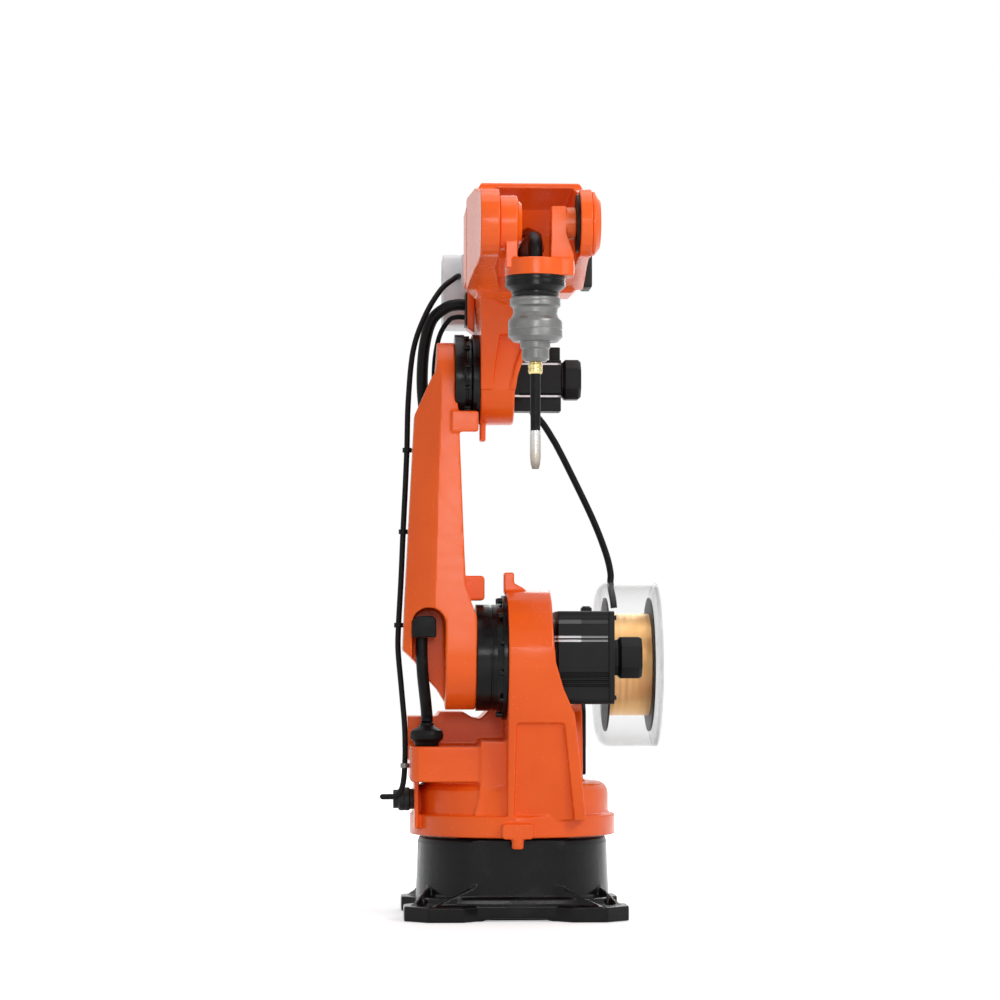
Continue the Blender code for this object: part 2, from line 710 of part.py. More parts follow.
def spool_lid(look):
    edge = DRUM_RADIUS
    lip = DRUM_RIGHT - DRUM_WALL - 0.006
    profile = [(0, DRUM_RIGHT), (edge - 0.002, DRUM_RIGHT), (edge, DRUM_RIGHT - 0.002),
               (edge, DRUM_RIGHT - DRUM_WALL), (edge - DRUM_WALL - GAP, DRUM_RIGHT - DRUM_WALL),
               (edge - DRUM_WALL - GAP, lip), (edge - 2 * DRUM_WALL, lip),
               (edge - 2 * DRUM_WALL, DRUM_RIGHT - DRUM_WALL), (0, DRUM_RIGHT - DRUM_WALL)]
    return new_object("spool_lid", turned(profile, "X", SPOOL_Y, SPOOL_Z, FINE), "column", look, True)


def spool_frame(look):
    left = SPOOL_CENTRE_X - SPOOL_WIDTH / 2
    right = SPOOL_CENTRE_X + SPOOL_WIDTH / 2
    bore = SPINDLE_RADIUS + 0.0007
    wall = 0.004
    profile = [(bore, left), (SPOOL_RADIUS, left), (SPOOL_RADIUS, left + wall),
               (SPOOL_HUB_RADIUS, left + wall), (SPOOL_HUB_RADIUS, right - wall),
               (SPOOL_RADIUS, right - wall), (SPOOL_RADIUS, right), (bore, right)]
    return new_object("spool_frame", turned(profile, "X", SPOOL_Y, SPOOL_Z, FINE), "spool", look, True)


def wire_winding(look):
    left = SPOOL_CENTRE_X - SPOOL_WIDTH / 2 + 0.004 + GAP
    right = SPOOL_CENTRE_X + SPOOL_WIDTH / 2 - 0.004 - GAP
    inner = SPOOL_HUB_RADIUS + GAP
    profile = [(inner, left), (WINDING_RADIUS, left), (WINDING_RADIUS, right), (inner, right)]
    return new_object("wire_winding", turned(profile, "X", SPOOL_Y, SPOOL_Z, FINE), "spool", look, True)


def arm_half_depth(level):
    """Half the lower arm's front-to-back depth at a height."""
    share = (level - SHOULDER_Z) / LOWER_ARM_LENGTH
    return HUB_RADIUS + (ARM_TOP_RADIUS - HUB_RADIUS) * share


def lower_arm_side_view():
    """Two round hubs joined by their tangent lines."""
    lean = math.asin((HUB_RADIUS - ARM_TOP_RADIUS) / LOWER_ARM_LENGTH)
    outline = []
    for step in range(15):
        turn = lean + (math.pi - 2 * lean) * step / 14
        outline.append((SHOULDER_Y + ARM_TOP_RADIUS * math.cos(turn),
                        ELBOW_Z + ARM_TOP_RADIUS * math.sin(turn)))
    for step in range(17):
        turn = math.pi - lean + (math.pi + 2 * lean) * step / 16
        outline.append((SHOULDER_Y + HUB_RADIUS * math.cos(turn),
                        SHOULDER_Z + HUB_RADIUS * math.sin(turn)))
    return outline


def lower_arm_front_view():
    right_foot = from_height(SHOULDER_Z, [(HUB_LEFT, -0.125), (HUB_RIGHT, -0.125), (HUB_RIGHT, 0.085),
                                          (-0.097, 0.113), (-0.109, 0.145), (-0.113, 0.229)])
    head = from_height(ELBOW_Z, [(-0.120, -0.1755), (-0.124, -0.0825), (REDUCER_SEAT, 0.0115),
                                 (REDUCER_SEAT, 0.0925), (-0.169, 0.0925), (-0.169, 0.0585),
                                 (-0.172, 0.0145), (-0.183, -0.0035), (-0.217, -0.0785)])
    left_foot = from_height(SHOULDER_Z, [(-0.230, 0.261), (-0.237, 0.123), (-0.241, 0.015),
                                         (-0.216, -0.008), (-0.189, -0.045), (-0.168, -0.068),
                                         (-0.152, -0.094)])
    return right_foot + head + left_foot


def arm_facet(side):
    """Cutter for the long facet on the arm's outer edge, at the front (-1) or the rear (1)."""
    sections = []
    for level, facet, left in ((SHOULDER_Z - 0.055, -0.182, -0.246), (ELBOW_Z - 0.0785, -0.163, -0.217),
                               (ELBOW_Z + 0.1025, -0.157, -0.172)):
        edge = arm_half_depth(level)
        reach = 0.046 if level < ELBOW_Z else 0.012
        first = Vector((facet, -edge))
        last = Vector((left, -edge + reach))
        run = last - first
        start = first - run * 0.3
        end = last + run * 0.6
        ring = [(start.x, start.y), (end.x, end.y), (end.x - 0.03, -edge - 0.05),
                (start.x, -edge - 0.05)]
        sections.append([(x, SHOULDER_Y - side * y, level) for x, y in ring])
    return bridge(sections)


def lower_arm_casting(look):
    made = new_object("lower_arm_casting",
                      extruded(lower_arm_front_view(), "Y", SHOULDER_Y - 0.15, SHOULDER_Y + 0.15),
                      "lower_arm", look, smooth=True)
    keep_within(made, extruded(lower_arm_side_view(), "X", -0.26, -0.05), "lower_arm")
    for side in (-1, 1):
        cut(made, arm_facet(side), "lower_arm")
    right = HUB_LEFT - 0.002
    pocket = rounded([(POCKET_LEFT, 0.40, 0), (right, 0.40, 0), (right, POCKET_TOP, POCKET_RADIUS),
                      (POCKET_LEFT, POCKET_TOP, POCKET_RADIUS)], 5)
    cut(made, extruded(pocket, "Y", SHOULDER_Y - 0.2, POCKET_BACK), "lower_arm")
    seat = disc(ELBOW_REDUCER_RADIUS + 0.0025, REDUCER_SEAT, -0.05)
    cut(made, turned(seat, "X", SHOULDER_Y, ELBOW_Z, 36), "lower_arm")
    block = box_outline(-0.125, SHOULDER_Z + 0.121, -0.067, SHOULDER_Z + 0.174, 0.006, 2)
    add(made, extruded(block, "Y", SHOULDER_Y - 0.024, SHOULDER_Y + 0.024), "lower_arm")
    lug = box_outline(-0.140, ELBOW_Z - 0.1165, -0.083, ELBOW_Z - 0.0725, 0.003, 1)
    add(made, extruded(lug, "Y", SHOULDER_Y - 0.090, SHOULDER_Y - 0.067), "lower_arm")
    return made


def hose_guide(look):
    """Rubber guide in the top of the arm's pocket, which the thick lead comes out of."""
    left = POCKET_LEFT + GAP
    right = left + GUIDE_WIDTH
    foot = POCKET_TOP - GUIDE_DROP
    top = POCKET_TOP - POCKET_RADIUS / 2
    outline = rounded([(left, foot, 0), (right, foot, 0), (right, top, 0.012), (left, top, 0.018)], 4)
    return new_object("hose_guide", extruded(outline, "Y", SHOULDER_Y - 0.088, POCKET_BACK - GAP),
                      "lower_arm", look)


def elbow_reducer(look):
    right = ELBOW_HUB_LEFT - GAP
    left = REDUCER_SEAT + GAP
    flange = left + 0.020
    profile = [(0, right), (ELBOW_REDUCER_RADIUS, right), (ELBOW_REDUCER_RADIUS, right - 0.014),
               (ELBOW_REDUCER_RADIUS - 0.008, right - 0.018), (ELBOW_REDUCER_RADIUS - 0.008, flange),
               (ELBOW_REDUCER_RADIUS, flange), (ELBOW_REDUCER_RADIUS, left), (0, left)]
    made = new_object("elbow_reducer", turned(profile, "X", SHOULDER_Y, ELBOW_Z, 36),
                      "lower_arm", look, True)
    heads = ring_of_bolts(12, ELBOW_REDUCER_RADIUS - 0.0064, 0.0048, flange - 0.003, flange + 0.011,
                          (SHOULDER_Y, ELBOW_Z))
    for head in heads:
        add(made, head, "lower_arm")
    return made


def riser_front_view():
    return from_height(ELBOW_Z, [(-0.079, -0.0375), (-0.006, -0.0375), (0.000, 0.0025), (0.012, 0.0375),
                                 (0.030, 0.0775), (0.055, 0.1175), (0.080, 0.1725), (0.084, 0.2525),
                                 (-0.084, 0.2525), (-0.086, 0.1825), (-0.079, 0.1045)])


def riser_side_view():
    centre = SHOULDER_Y
    rear, front = ROLL_HOUSING_REAR - 0.004, ROLL_HOUSING_FRONT + 0.020
    foot = from_height(ELBOW_Z, [(centre - ELBOW_HUB_RADIUS, -0.0275), (centre + ELBOW_HUB_RADIUS, -0.0275),
                                 (centre + ELBOW_HUB_RADIUS, 0.0425), (centre + 0.090, 0.1125)])
    head = from_height(FOREARM_Z, [(rear, -0.0615), (rear, 0.0085), (front, 0.0085), (front, -0.0615)])
    return foot + head + from_height(ELBOW_Z, [(centre - 0.135, 0.1225), (centre - 0.106, 0.0525)])


def elbow_casting(look):
    hub = disc(ELBOW_HUB_RADIUS, ELBOW_HUB_LEFT, ELBOW_HUB_RIGHT, 0.003)
    made = new_object("elbow_casting", turned(hub, "X", SHOULDER_Y, ELBOW_Z, FINE), "elbow", look, True)
    riser = shape(extruded(riser_front_view(), "Y", -0.40, 0.05), "elbow")
    keep_within(riser, extruded(riser_side_view(), "X", -0.12, 0.12), "elbow")
    use_boolean(made, riser, "UNION")
    room = ELBOW_MOTOR_PLATE_HALF + 0.003
    seat = box_outline(SHOULDER_Y - room, ELBOW_Z - 0.2, SHOULDER_Y + room, ELBOW_Z + room, 0.01, 2)
    cut(made, extruded(seat, "X", ELBOW_HUB_RIGHT, 0.2), "elbow")
    housing = [(0, ROLL_HOUSING_FRONT), (0.092, ROLL_HOUSING_FRONT),
               (ROLL_HOUSING_RADIUS, ROLL_HOUSING_FRONT + 0.010),
               (ROLL_HOUSING_RADIUS, ROLL_HOUSING_FRONT + 0.040), (0.096, ROLL_HOUSING_FRONT + 0.052),
               (0.096, ROLL_HOUSING_REAR - 0.012), (0.088, ROLL_HOUSING_REAR), (0, ROLL_HOUSING_REAR)]
    add(made, turned(housing, "Y", 0, FOREARM_Z, 44), "elbow")
    panel = from_height(ELBOW_Z, [(-0.058, -0.0525), (-0.022, -0.0525), (-0.006, 0.0225),
                                  (0.018, 0.0875), (-0.040, 0.0875)])
    cut(made, extruded(panel, "Y", -0.30, SHOULDER_Y - 0.094), "elbow")
    fin = [(SHOULDER_Y - 0.020, ELBOW_Z - 0.1325), (SHOULDER_Y + 0.020, ELBOW_Z - 0.1325),
           (SHOULDER_Y + 0.030, ELBOW_Z - 0.080), (SHOULDER_Y - 0.030, ELBOW_Z - 0.080)]
    add(made, extruded(fin, "X", -0.0775, -0.065), "elbow")
    return made


def elbow_motor(look):
    left = ELBOW_HUB_RIGHT + GAP
    centre = (SHOULDER_Y, ELBOW_Z)
    made = new_object("elbow_motor",
                      extruded(finned_outline(ELBOW_MOTOR_HALF, centre, 0.004, 4), "X",
                               left + 0.006, ELBOW_MOTOR_RIGHT), "elbow", look)
    half = ELBOW_MOTOR_PLATE_HALF
    plate = box_outline(centre[0] - half, centre[1] - half, centre[0] + half, centre[1] + half, 0.008, 2)
    add(made, extruded(plate, "X", left, left + 0.010), "elbow")
    block = box_outline(centre[0] - 0.030, ELBOW_Z - 0.0685, centre[0] + 0.030, ELBOW_Z - 0.030, 0.003, 1)
    add(made, extruded(block, "X", left, ELBOW_MOTOR_RIGHT), "elbow")
    top = box_outline(centre[0] - 0.016, ELBOW_Z + 0.030, centre[0] + 0.016, ELBOW_Z + 0.0695, 0.003, 1)
    add(made, extruded(top, "X", ELBOW_MOTOR_RIGHT - 0.023, ELBOW_MOTOR_RIGHT - 0.001), "elbow")
    return made


def elbow_encoder(look):
    form = encoder_profile((SHOULDER_Y, ELBOW_Z), 0.042, 0.004, ELBOW_MOTOR_RIGHT + GAP,
                           ELBOW_ENCODER_RIGHT)
    return new_object("elbow_encoder", lofted("X", form), "elbow", look)


def connector_box(look):
    """Orange box on the elbow's left side that the leads go into."""
    outline = from_height(FOREARM_Z, [(-0.1020, -0.1295), (-0.0863, -0.1395), (-0.0863, -0.0475),
                                      (-0.1020, -0.0475)])
    return new_object("connector_box", extruded(outline, "Y", -0.115, -0.045), "elbow", look)


def connector_plate(look):
    outline = box_outline(-0.113, FOREARM_Z - 0.1235, -0.047, FOREARM_Z - 0.0515, 0.004, 1)
    return new_object("connector_plate",
                      extruded(outline, "X", CONNECTOR_PLATE_LEFT, -0.1020 - GAP), "elbow", look)


def roll_motor(look):
    start = ROLL_HOUSING_REAR + GAP
    outline = box_outline(-0.040, FOREARM_Z - 0.040, 0.040, FOREARM_Z + 0.040, 0.006, 1)
    made = new_object("roll_motor", extruded(outline, "Y", start + 0.006, start + 0.090), "elbow", look)
    plate = box_outline(-0.046, FOREARM_Z - 0.046, 0.046, FOREARM_Z + 0.046, 0.010, 2)
    add(made, extruded(plate, "Y", start, start + 0.008), "elbow")
    cap = box_outline(-0.036, FOREARM_Z - 0.036, 0.036, FOREARM_Z + 0.036, 0.012, 2)
    add(made, extruded(cap, "Y", start + 0.084, start + 0.118), "elbow")
    return made


def wire_feeder(look):
    """Feeder case, with the angle plate that holds it to the elbow's rear face."""
    case = box_outline(FEEDER_FRONT, FEEDER_BOTTOM, FEEDER_REAR, FEEDER_TOP, 0.012, 3)
    made = new_object("wire_feeder", extruded(case, "X", FEEDER_LEFT, FEEDER_RIGHT), "elbow", look)
    window = box_outline(FEEDER_FRONT + 0.018, FEEDER_BOTTOM + 0.020, FEEDER_REAR - 0.018,
                         FEEDER_TOP - 0.020, 0.008, 2)
    cut(made, extruded(window, "X", FEEDER_LEFT - 0.01, FEEDER_LEFT + 0.006), "elbow")
    spout = disc(0.012, FEEDER_BOTTOM - 0.018, FEEDER_BOTTOM + 0.002)
    inlet = turned(spout, "Z", LINER_TOP_X, LINER_TOP_Y, COARSE)
    add(made, inlet, "elbow")
    face = ROLL_HOUSING_REAR + GAP
    plate = box_outline(-0.112, FEEDER_TOP - 0.090, -0.048, FEEDER_TOP - 0.003, 0.006, 2)
    add(made, extruded(plate, "Y", face, face + 0.005), "elbow")
    block = box_outline(-0.098, FEEDER_TOP - 0.073, -0.062, FEEDER_TOP - 0.020, 0.004, 1)
    return add(made, extruded(block, "Y", face + 0.003, FEEDER_FRONT + 0.003), "elbow")


def forearm_section(level, half, bottom, top, edge):
    return (level, [(-half + edge, bottom), (half - edge, bottom), (half, bottom + edge),
                    (half, top - edge), (half - edge, top), (-half + edge, top), (-half, top - edge),
                    (-half, bottom + edge)])


def tine_side_view():
    """One fork arm from the side, ending in a round head on the wrist axis."""
    outline = [(FOREARM_SHOULDER + 0.01, FOREARM_TOP - 0.004), (WEB_FRONT, FOREARM_TOP - 0.012)]
    for step in range(15):
        turn = math.radians(72 + step * (216 / 14))
        outline.append((WRIST_Y + TINE_RADIUS * math.cos(turn), FOREARM_Z + TINE_RADIUS * math.sin(turn)))
    outline += [(WEB_FRONT, FOREARM_Z - 0.0695), (FOREARM_SHOULDER + 0.01, FOREARM_BOTTOM + 0.006)]
    return outline


def fork_tine(side):
    """Fork arm as seen from above: it narrows towards the wrist axis."""
    outer = [(FOREARM_SHOULDER + 0.01, 0.119), (-0.560, 0.117), (WRIST_Y + 0.070, 0.1075),
             (WRIST_Y - 0.070, 0.1075)]
    inner = 0.0705 if side < 0 else 0.0845
    plan = [(side * x, y) for y, x in outer]
    plan += [(side * inner, WRIST_Y - 0.070), (side * inner, WEB_FRONT),
             (side * 0.052, FOREARM_SHOULDER + 0.01)]
    return plan


def forearm_casting(look):
    low, high = FOREARM_BOTTOM, FOREARM_TOP
    body = lofted("Y", [forearm_section(FOREARM_REAR, 0.108, low + 0.010, high - 0.010, 0.040),
                        forearm_section(FOREARM_REAR - 0.030, FOREARM_HALF, low, high, 0.024),
                        forearm_section(FOREARM_SHOULDER, FOREARM_HALF, low, high, 0.024)])
    made = new_object("forearm_casting", body, "forearm", look, smooth=True)
    for side in (-1, 1):
        tine = shape(extruded(tine_side_view(), "X", -0.13, 0.13), "forearm")
        keep_within(tine, extruded(fork_tine(side), "Z", low - 0.05, high + 0.05), "forearm")
        use_boolean(made, tine, "UNION")
    rear = FOREARM_SHOULDER + 0.020
    web = [(rear, FOREARM_TOP), (WEB_FRONT + 0.004, FOREARM_TOP), (WEB_FRONT, FOREARM_TOP - 0.004),
           (WEB_FRONT, FOREARM_TOP - 0.011), (-0.625, FOREARM_Z + 0.058), (-0.605, FOREARM_Z + 0.009),
           (FOREARM_SHOULDER - 0.030, FOREARM_Z - 0.031), (rear, FOREARM_BOTTOM + 0.013)]
    roof = shape(extruded(web, "X", -FOREARM_HALF, FOREARM_HALF), "forearm")
    half = WEB_HALF + 0.007
    front_view = [(-half, FOREARM_BOTTOM), (half, FOREARM_BOTTOM), (half, FOREARM_TOP - 0.012),
                  (WEB_HALF, FOREARM_TOP), (-WEB_HALF, FOREARM_TOP), (-half, FOREARM_TOP - 0.012)]
    keep_within(roof, extruded(front_view, "Y", WEB_FRONT - 0.05, FOREARM_SHOULDER + 0.05), "forearm")
    use_boolean(made, roof, "UNION")
    bore = turned(disc(CABLE_BORE, -0.72, FOREARM_SHOULDER + 0.03), "Y", 0, FOREARM_Z - 0.012, 8)
    cut(made, bore, "forearm")
    return made


def right_cover(look):
    face = 0.1075 + GAP
    profile = [(0, face), (TINE_RADIUS - 0.004, face), (TINE_RADIUS - 0.004, face + 0.006),
               (TINE_RADIUS - 0.018, face + 0.0165), (0, face + 0.0165)]
    return new_object("right_cover", turned(profile, "X", WRIST_Y, FOREARM_Z, FINE), "forearm", look, True)


def bearing_seal(look):
    face = 0.0845 - GAP
    profile = disc(TINE_RADIUS - 0.010, 0.0785 + GAP, face)
    return new_object("bearing_seal", turned(profile, "X", WRIST_Y, FOREARM_Z, FINE), "forearm", look, True)


def forearm_box(look):
    face = FOREARM_HALF + GAP
    outline = box_outline(-0.490, FOREARM_BOTTOM + 0.013, -0.400, FOREARM_Z, 0.005, 1)
    return new_object("forearm_box", extruded(outline, "X", face, face + 0.018), "forearm", look)


def wrist_housing(look):
    ring = [(0, RING_BOTTOM), (RING_RADIUS, RING_BOTTOM), (RING_RADIUS, RING_TOP - 0.002),
            (RING_RADIUS - 0.002, RING_TOP), (0, RING_TOP)]
    made = new_object("wrist_housing", turned(ring, "Z", 0, WRIST_Y, FINE), "wrist", look, True)
    left = rounded([(-0.059, RING_TOP - 0.02, 0), (-0.036, RING_TOP - 0.02, 0), (-0.036, FOREARM_Z, 0),
                    (-0.059, FOREARM_Z, 0)])
    add(made, extruded(left, "Y", WRIST_Y - 0.036, WRIST_Y + 0.036), "wrist")
    head = [(0, LEFT_HEAD_IN), (0.038, LEFT_HEAD_IN), (0.043, LEFT_HEAD_IN - 0.006),
            (LEFT_HEAD_RADIUS, LEFT_HEAD_IN - 0.010), (LEFT_HEAD_RADIUS, -0.0705 + RUNNING_GAP),
            (0, -0.0705 + RUNNING_GAP)]
    add(made, turned(head, "X", WRIST_Y, FOREARM_Z, FINE), "wrist")
    lobe = rounded([(0.020, WRIST_Y - 0.034, 0), (0.074, WRIST_Y - 0.034, 0.012),
                    (0.074, WRIST_Y + 0.034, 0.012), (0.020, WRIST_Y + 0.034, 0)], 3)
    add(made, extruded(lobe, "Z", RING_BOTTOM, RING_TOP), "wrist")
    right_arm = [(0.072, RING_TOP - 0.02), (0.072, RING_TOP + 0.010), (0.058, FOREARM_Z - 0.020),
                 (0.058, FOREARM_Z + 0.030), (0.030, FOREARM_Z + 0.030), (0.028, RING_TOP - 0.02)]
    add(made, extruded(right_arm, "Y", WRIST_Y - 0.030, WRIST_Y + 0.030), "wrist")
    boss = disc(RIGHT_BOSS_RADIUS, 0.040, 0.0785 - GAP, 0.001)
    add(made, turned(boss, "X", WRIST_Y, FOREARM_Z, MEDIUM), "wrist")
    return made


def reducer_ring(look):
    top = RING_BOTTOM - GAP
    profile = [(0, top), (RING_RADIUS - 0.001, top), (RING_RADIUS - 0.001, top - 0.020),
               (RING_RADIUS - 0.013, top - 0.030), (0.044, REDUCER_RING_BOTTOM + GAP),
               (0, REDUCER_RING_BOTTOM + GAP)]
    return new_object("reducer_ring", turned(profile, "Z", 0, WRIST_Y, FINE), "wrist", look, True)


def crash_sensor(look):
    profile = [(0, REDUCER_RING_BOTTOM - GAP), (0.047, REDUCER_RING_BOTTOM - GAP),
               *from_height(REDUCER_RING_BOTTOM,
                            [(0.049, -0.003), (0.049, -0.017), (0.0465, -0.019), (0.0435, -0.022),
                             (0.0425, -0.031), (0.0465, -0.039), (0.0515, -0.045), (0.0525, -0.049)]),
               *from_height(SENSOR_BOTTOM,
                            [(0.0525, 0.0475), (0.0435, 0.0385), (0.029, 0.0385), (0.029, 0.0265),
                             (0.026, 0.0235), (0.026, 0.0065), (0.021, 0.0)]), (0, SENSOR_BOTTOM)]
    return new_object("crash_sensor", turned(profile, "Z", 0, WRIST_Y, FINE), "torch", look, True)


def torch_nut(look):
    profile = [(0, SENSOR_BOTTOM - GAP), (0.012, SENSOR_BOTTOM - GAP), (0.012, SENSOR_BOTTOM - 0.0045),
               (0.014, SENSOR_BOTTOM - 0.0055), (0.014, NUT_BOTTOM + 0.004),
               (0.012, NUT_BOTTOM), (0, NUT_BOTTOM)]
    return new_object("torch_nut", turned(profile, "Z", 0, WRIST_Y, COARSE), "torch", look, True)


def torch_neck(look):
    profile = [(0, NUT_BOTTOM - GAP), (NECK_RADIUS, NUT_BOTTOM - GAP), (NECK_RADIUS, NECK_BOTTOM + 0.029),
               (NECK_RADIUS - 0.0005, NECK_BOTTOM + 0.025), (NECK_RADIUS - 0.0005, NECK_BOTTOM),
               (0, NECK_BOTTOM)]
    return new_object("torch_neck", turned(profile, "Z", 0, WRIST_Y, COARSE), "torch", look, True)


def torch_nozzle(look):
    top = NECK_BOTTOM - GAP
    profile = [(0, top), (NOZZLE_RADIUS, top), (NOZZLE_RADIUS, NOZZLE_BOTTOM + 0.023),
               (0.0090, NOZZLE_BOTTOM + 0.009),
               (0.0065, NOZZLE_BOTTOM), (0.0052, NOZZLE_BOTTOM), (0.0052, NOZZLE_BOTTOM + 0.010),
               (0, NOZZLE_BOTTOM + 0.010)]
    return new_object("torch_nozzle", turned(profile, "Z", 0, WRIST_Y, COARSE), "torch", look, True)


def smooth_route(route, count):
    """Evenly spread points on a smooth curve through the route's own points, straight at its ends."""
    points = [Vector(point) for point in route]
    points = [points[0] * 2 - points[1], *points, points[-1] * 2 - points[-2]]
    dense = []
    for index in range(1, len(points) - 2):
        a, b, c, d = points[index - 1:index + 3]
        for step in range(20):
            t = step / 20
            dense.append(0.5 * (2 * b + (c - a) * t + (2 * a - 5 * b + 4 * c - d) * t * t
                                + (3 * b - a - 3 * c + d) * t ** 3))
    dense.append(points[-2])
    runs = [0.0]
    for before, after in zip(dense, dense[1:]):
        runs.append(runs[-1] + (after - before).length)
    spread = []
    index = 0
    for step in range(count):
        goal = runs[-1] * step / (count - 1)
        while index < len(runs) - 2 and runs[index + 1] < goal:
            index += 1
        share = (goal - runs[index]) / (runs[index + 1] - runs[index])
        spread.append(dense[index].lerp(dense[index + 1], share))
    leaves = (points[2] - points[1]).normalized()
    enters = (points[-3] - points[-2]).normalized()
    spread[1] = spread[0] + leaves * (spread[1] - spread[0]).length
    spread[-2] = spread[-1] + enters * (spread[-2] - spread[-1]).length
    return spread


def lead(name, route, diameter, count, body, look, sides=2):
    empty, origin = PIVOTS[body]
    curve = bpy.data.curves.new(name, "CURVE")
    curve.dimensions = "3D"
    curve.bevel_depth = diameter / 2
    curve.bevel_resolution = sides
    curve.use_fill_caps = True
    line = curve.splines.new("POLY")
    places = smooth_route(route, count)
    line.points.add(len(places) - 1)
    for point, place in zip(line.points, places):
        point.co = (*(place - origin), 1.0)
    curve.materials.append(look)
    made = bpy.data.objects.new(name, curve)
    bpy.context.collection.objects.link(made)
    made.parent = empty
    return made


# Routes of the leads, chosen by hand
HOSE_LOWER = from_height(SHOULDER_Z, [(GLAND_X, GLAND_Y, -0.137), (GLAND_X, GLAND_Y, -0.123),
                                      (-0.1925, -0.155, -0.087), (-0.1990, -0.192, -0.035),
                                      (-0.2015, -0.2020, 0.010), (-0.2015, -0.2020, 0.0422)])
HOSE_UPPER = from_height(ELBOW_Z, [(-0.1065, -0.080, 0.168), (-0.125, -0.080, 0.168),
                                   (-0.148, -0.075, 0.1615), (-0.177, -0.066, 0.1355),
                                   (-0.1925, -0.054, 0.0805), (-0.1970, -0.042, 0.0025),
                                   (-0.1900, -0.030, -0.0675), (-0.1720, -0.022, -0.1275),
                                   (-0.1550, -0.026, -0.1685), (-0.1480, -0.044, -0.1815),
                                   (-0.1480, -0.0598, -0.1825)])
SIGNAL_LEAD = from_height(ELBOW_Z, [(-0.1065, -0.058, 0.1435), (-0.1230, -0.058, 0.1435),
                                    (-0.1400, -0.052, 0.1365), (-0.1600, -0.040, 0.1025),
                                    (-0.1700, -0.024, 0.0425), (-0.1680, -0.012, -0.0275),
                                    (-0.1520, -0.008, -0.0775), (-0.1400, -0.020, -0.1075),
                                    (-0.1380, -0.045, -0.1155), (-0.1380, -0.0622, -0.1165)])
DRESS_UPPER = from_height(ELBOW_Z, [(-0.1180, FEEDER_FRONT - 0.0008, 0.2375), (-0.1180, -0.020, 0.2375),
                                    (-0.1300, -0.045, 0.2275), (-0.1584, -0.070, 0.2005),
                                    (-0.1916, -0.096, 0.1435), (-0.2180, -0.120, 0.0662),
                                    (-0.2290, -0.138, -0.0425), (-0.2321, -0.1500, -0.1491)])
DRESS_MIDDLE = [(-0.2321, -0.1500, ELBOW_Z - 0.1509),
                (-0.2357, -0.1500, SHOULDER_Z + 0.6025 * LOWER_ARM_LENGTH),
                (-0.2400, -0.1500, SHOULDER_Z + 0.4517 * LOWER_ARM_LENGTH),
                (-0.2443, -0.1500, SHOULDER_Z + 0.2792 * LOWER_ARM_LENGTH),
                (-0.2496, -0.1500, SHOULDER_Z + 0.0706)]
DRESS_LOWER = from_height(SHOULDER_Z, [(-0.2496, -0.1500, 0.069), (-0.2502, -0.1480, 0.015),
                                       (-0.2425, -0.1360, -0.069), (-0.2352, -0.1200, -0.1547),
                                       (-0.2350, -0.1100, -0.2299), (-0.2400, -0.1060, -0.275),
                                       (-0.2520, -0.1050, -0.294), (-0.2690, -0.1050, -0.2963),
                                       (-0.2882, -0.1050, -0.2963)])
LINER_UPPER = from_height(ELBOW_Z, [(LINER_TOP_X, LINER_TOP_Y, 0.1139),
                                    (LINER_TOP_X, LINER_TOP_Y, 0.0875), (-0.0400, 0.075, 0.0425),
                                    (0.0150, 0.110, -0.0125), (0.0715, 0.150, -0.0653),
                                    (0.1048, 0.1719, -0.1121)])
LINER_LOWER = [(0.1056, 0.1725, ELBOW_Z - 0.1135), (0.1338, 0.190, 0.9827), (0.1920, 0.225, 0.8690),
               (0.2237, 0.245, 0.7923), (0.2350, SPOOL_Y, 0.7480),
               (0.2350, SPOOL_Y, SPOOL_Z + DRUM_RADIUS + 0.0006)]
TORCH_ROUTE = from_height(FOREARM_Z, [(0, FOREARM_SHOULDER + 0.0294, -0.012), (0, -0.560, -0.0115),
                                      (0, -0.660, -0.0145), (0, -0.750, -0.0175), (0, -0.812, -0.0235),
                                      (0, -0.848, -0.0365), (0, WRIST_Y, -0.0515), (0, WRIST_Y, -0.0695)])


def arm_left_edge(level):
    """The arm's outer edge at a height, read from its front outline."""
    edge = [point for point in lower_arm_front_view() if point[0] < -0.168]
    for (x_top, top), (x_low, low) in zip(edge, edge[1:]):
        if low <= level <= top:
            return x_low + (x_top - x_low) * (level - low) / (top - low)
    return edge[-1][0]


def lead_clip(name, body, centre, seat, look):
    """Strap round the thin lead, with a foot that seats on what carries it."""
    x, y, z = centre
    bore = THIN_LEAD / 2 + 0.0007
    ring = [(bore, z - 0.005), (bore + 0.0028, z - 0.005), (bore + 0.0028, z + 0.005), (bore, z + 0.005)]
    made = new_object(name, turned(ring, "Z", x, y, COARSE), body, look, True)
    foot = box_outline(y - CLIP_HALF, z - CLIP_HALF, y + CLIP_HALF, z + CLIP_HALF)
    return add(made, extruded(foot, "X", x + bore + 0.001, seat), body)


def clips(rubber, metal):
    for index, centre in enumerate((DRESS_LOWER[0], DRESS_MIDDLE[2], DRESS_MIDDLE[0]), start=1):
        seat = min(arm_left_edge(centre[2] + CLIP_HALF), arm_left_edge(centre[2] - CLIP_HALF)) - GAP
        lead_clip(f"lead_clip_{index}", "lower_arm", centre, seat, rubber)
    lead_clip("lead_tie", "column", DRESS_LOWER[4], SHELF_LEFT - GAP, metal)


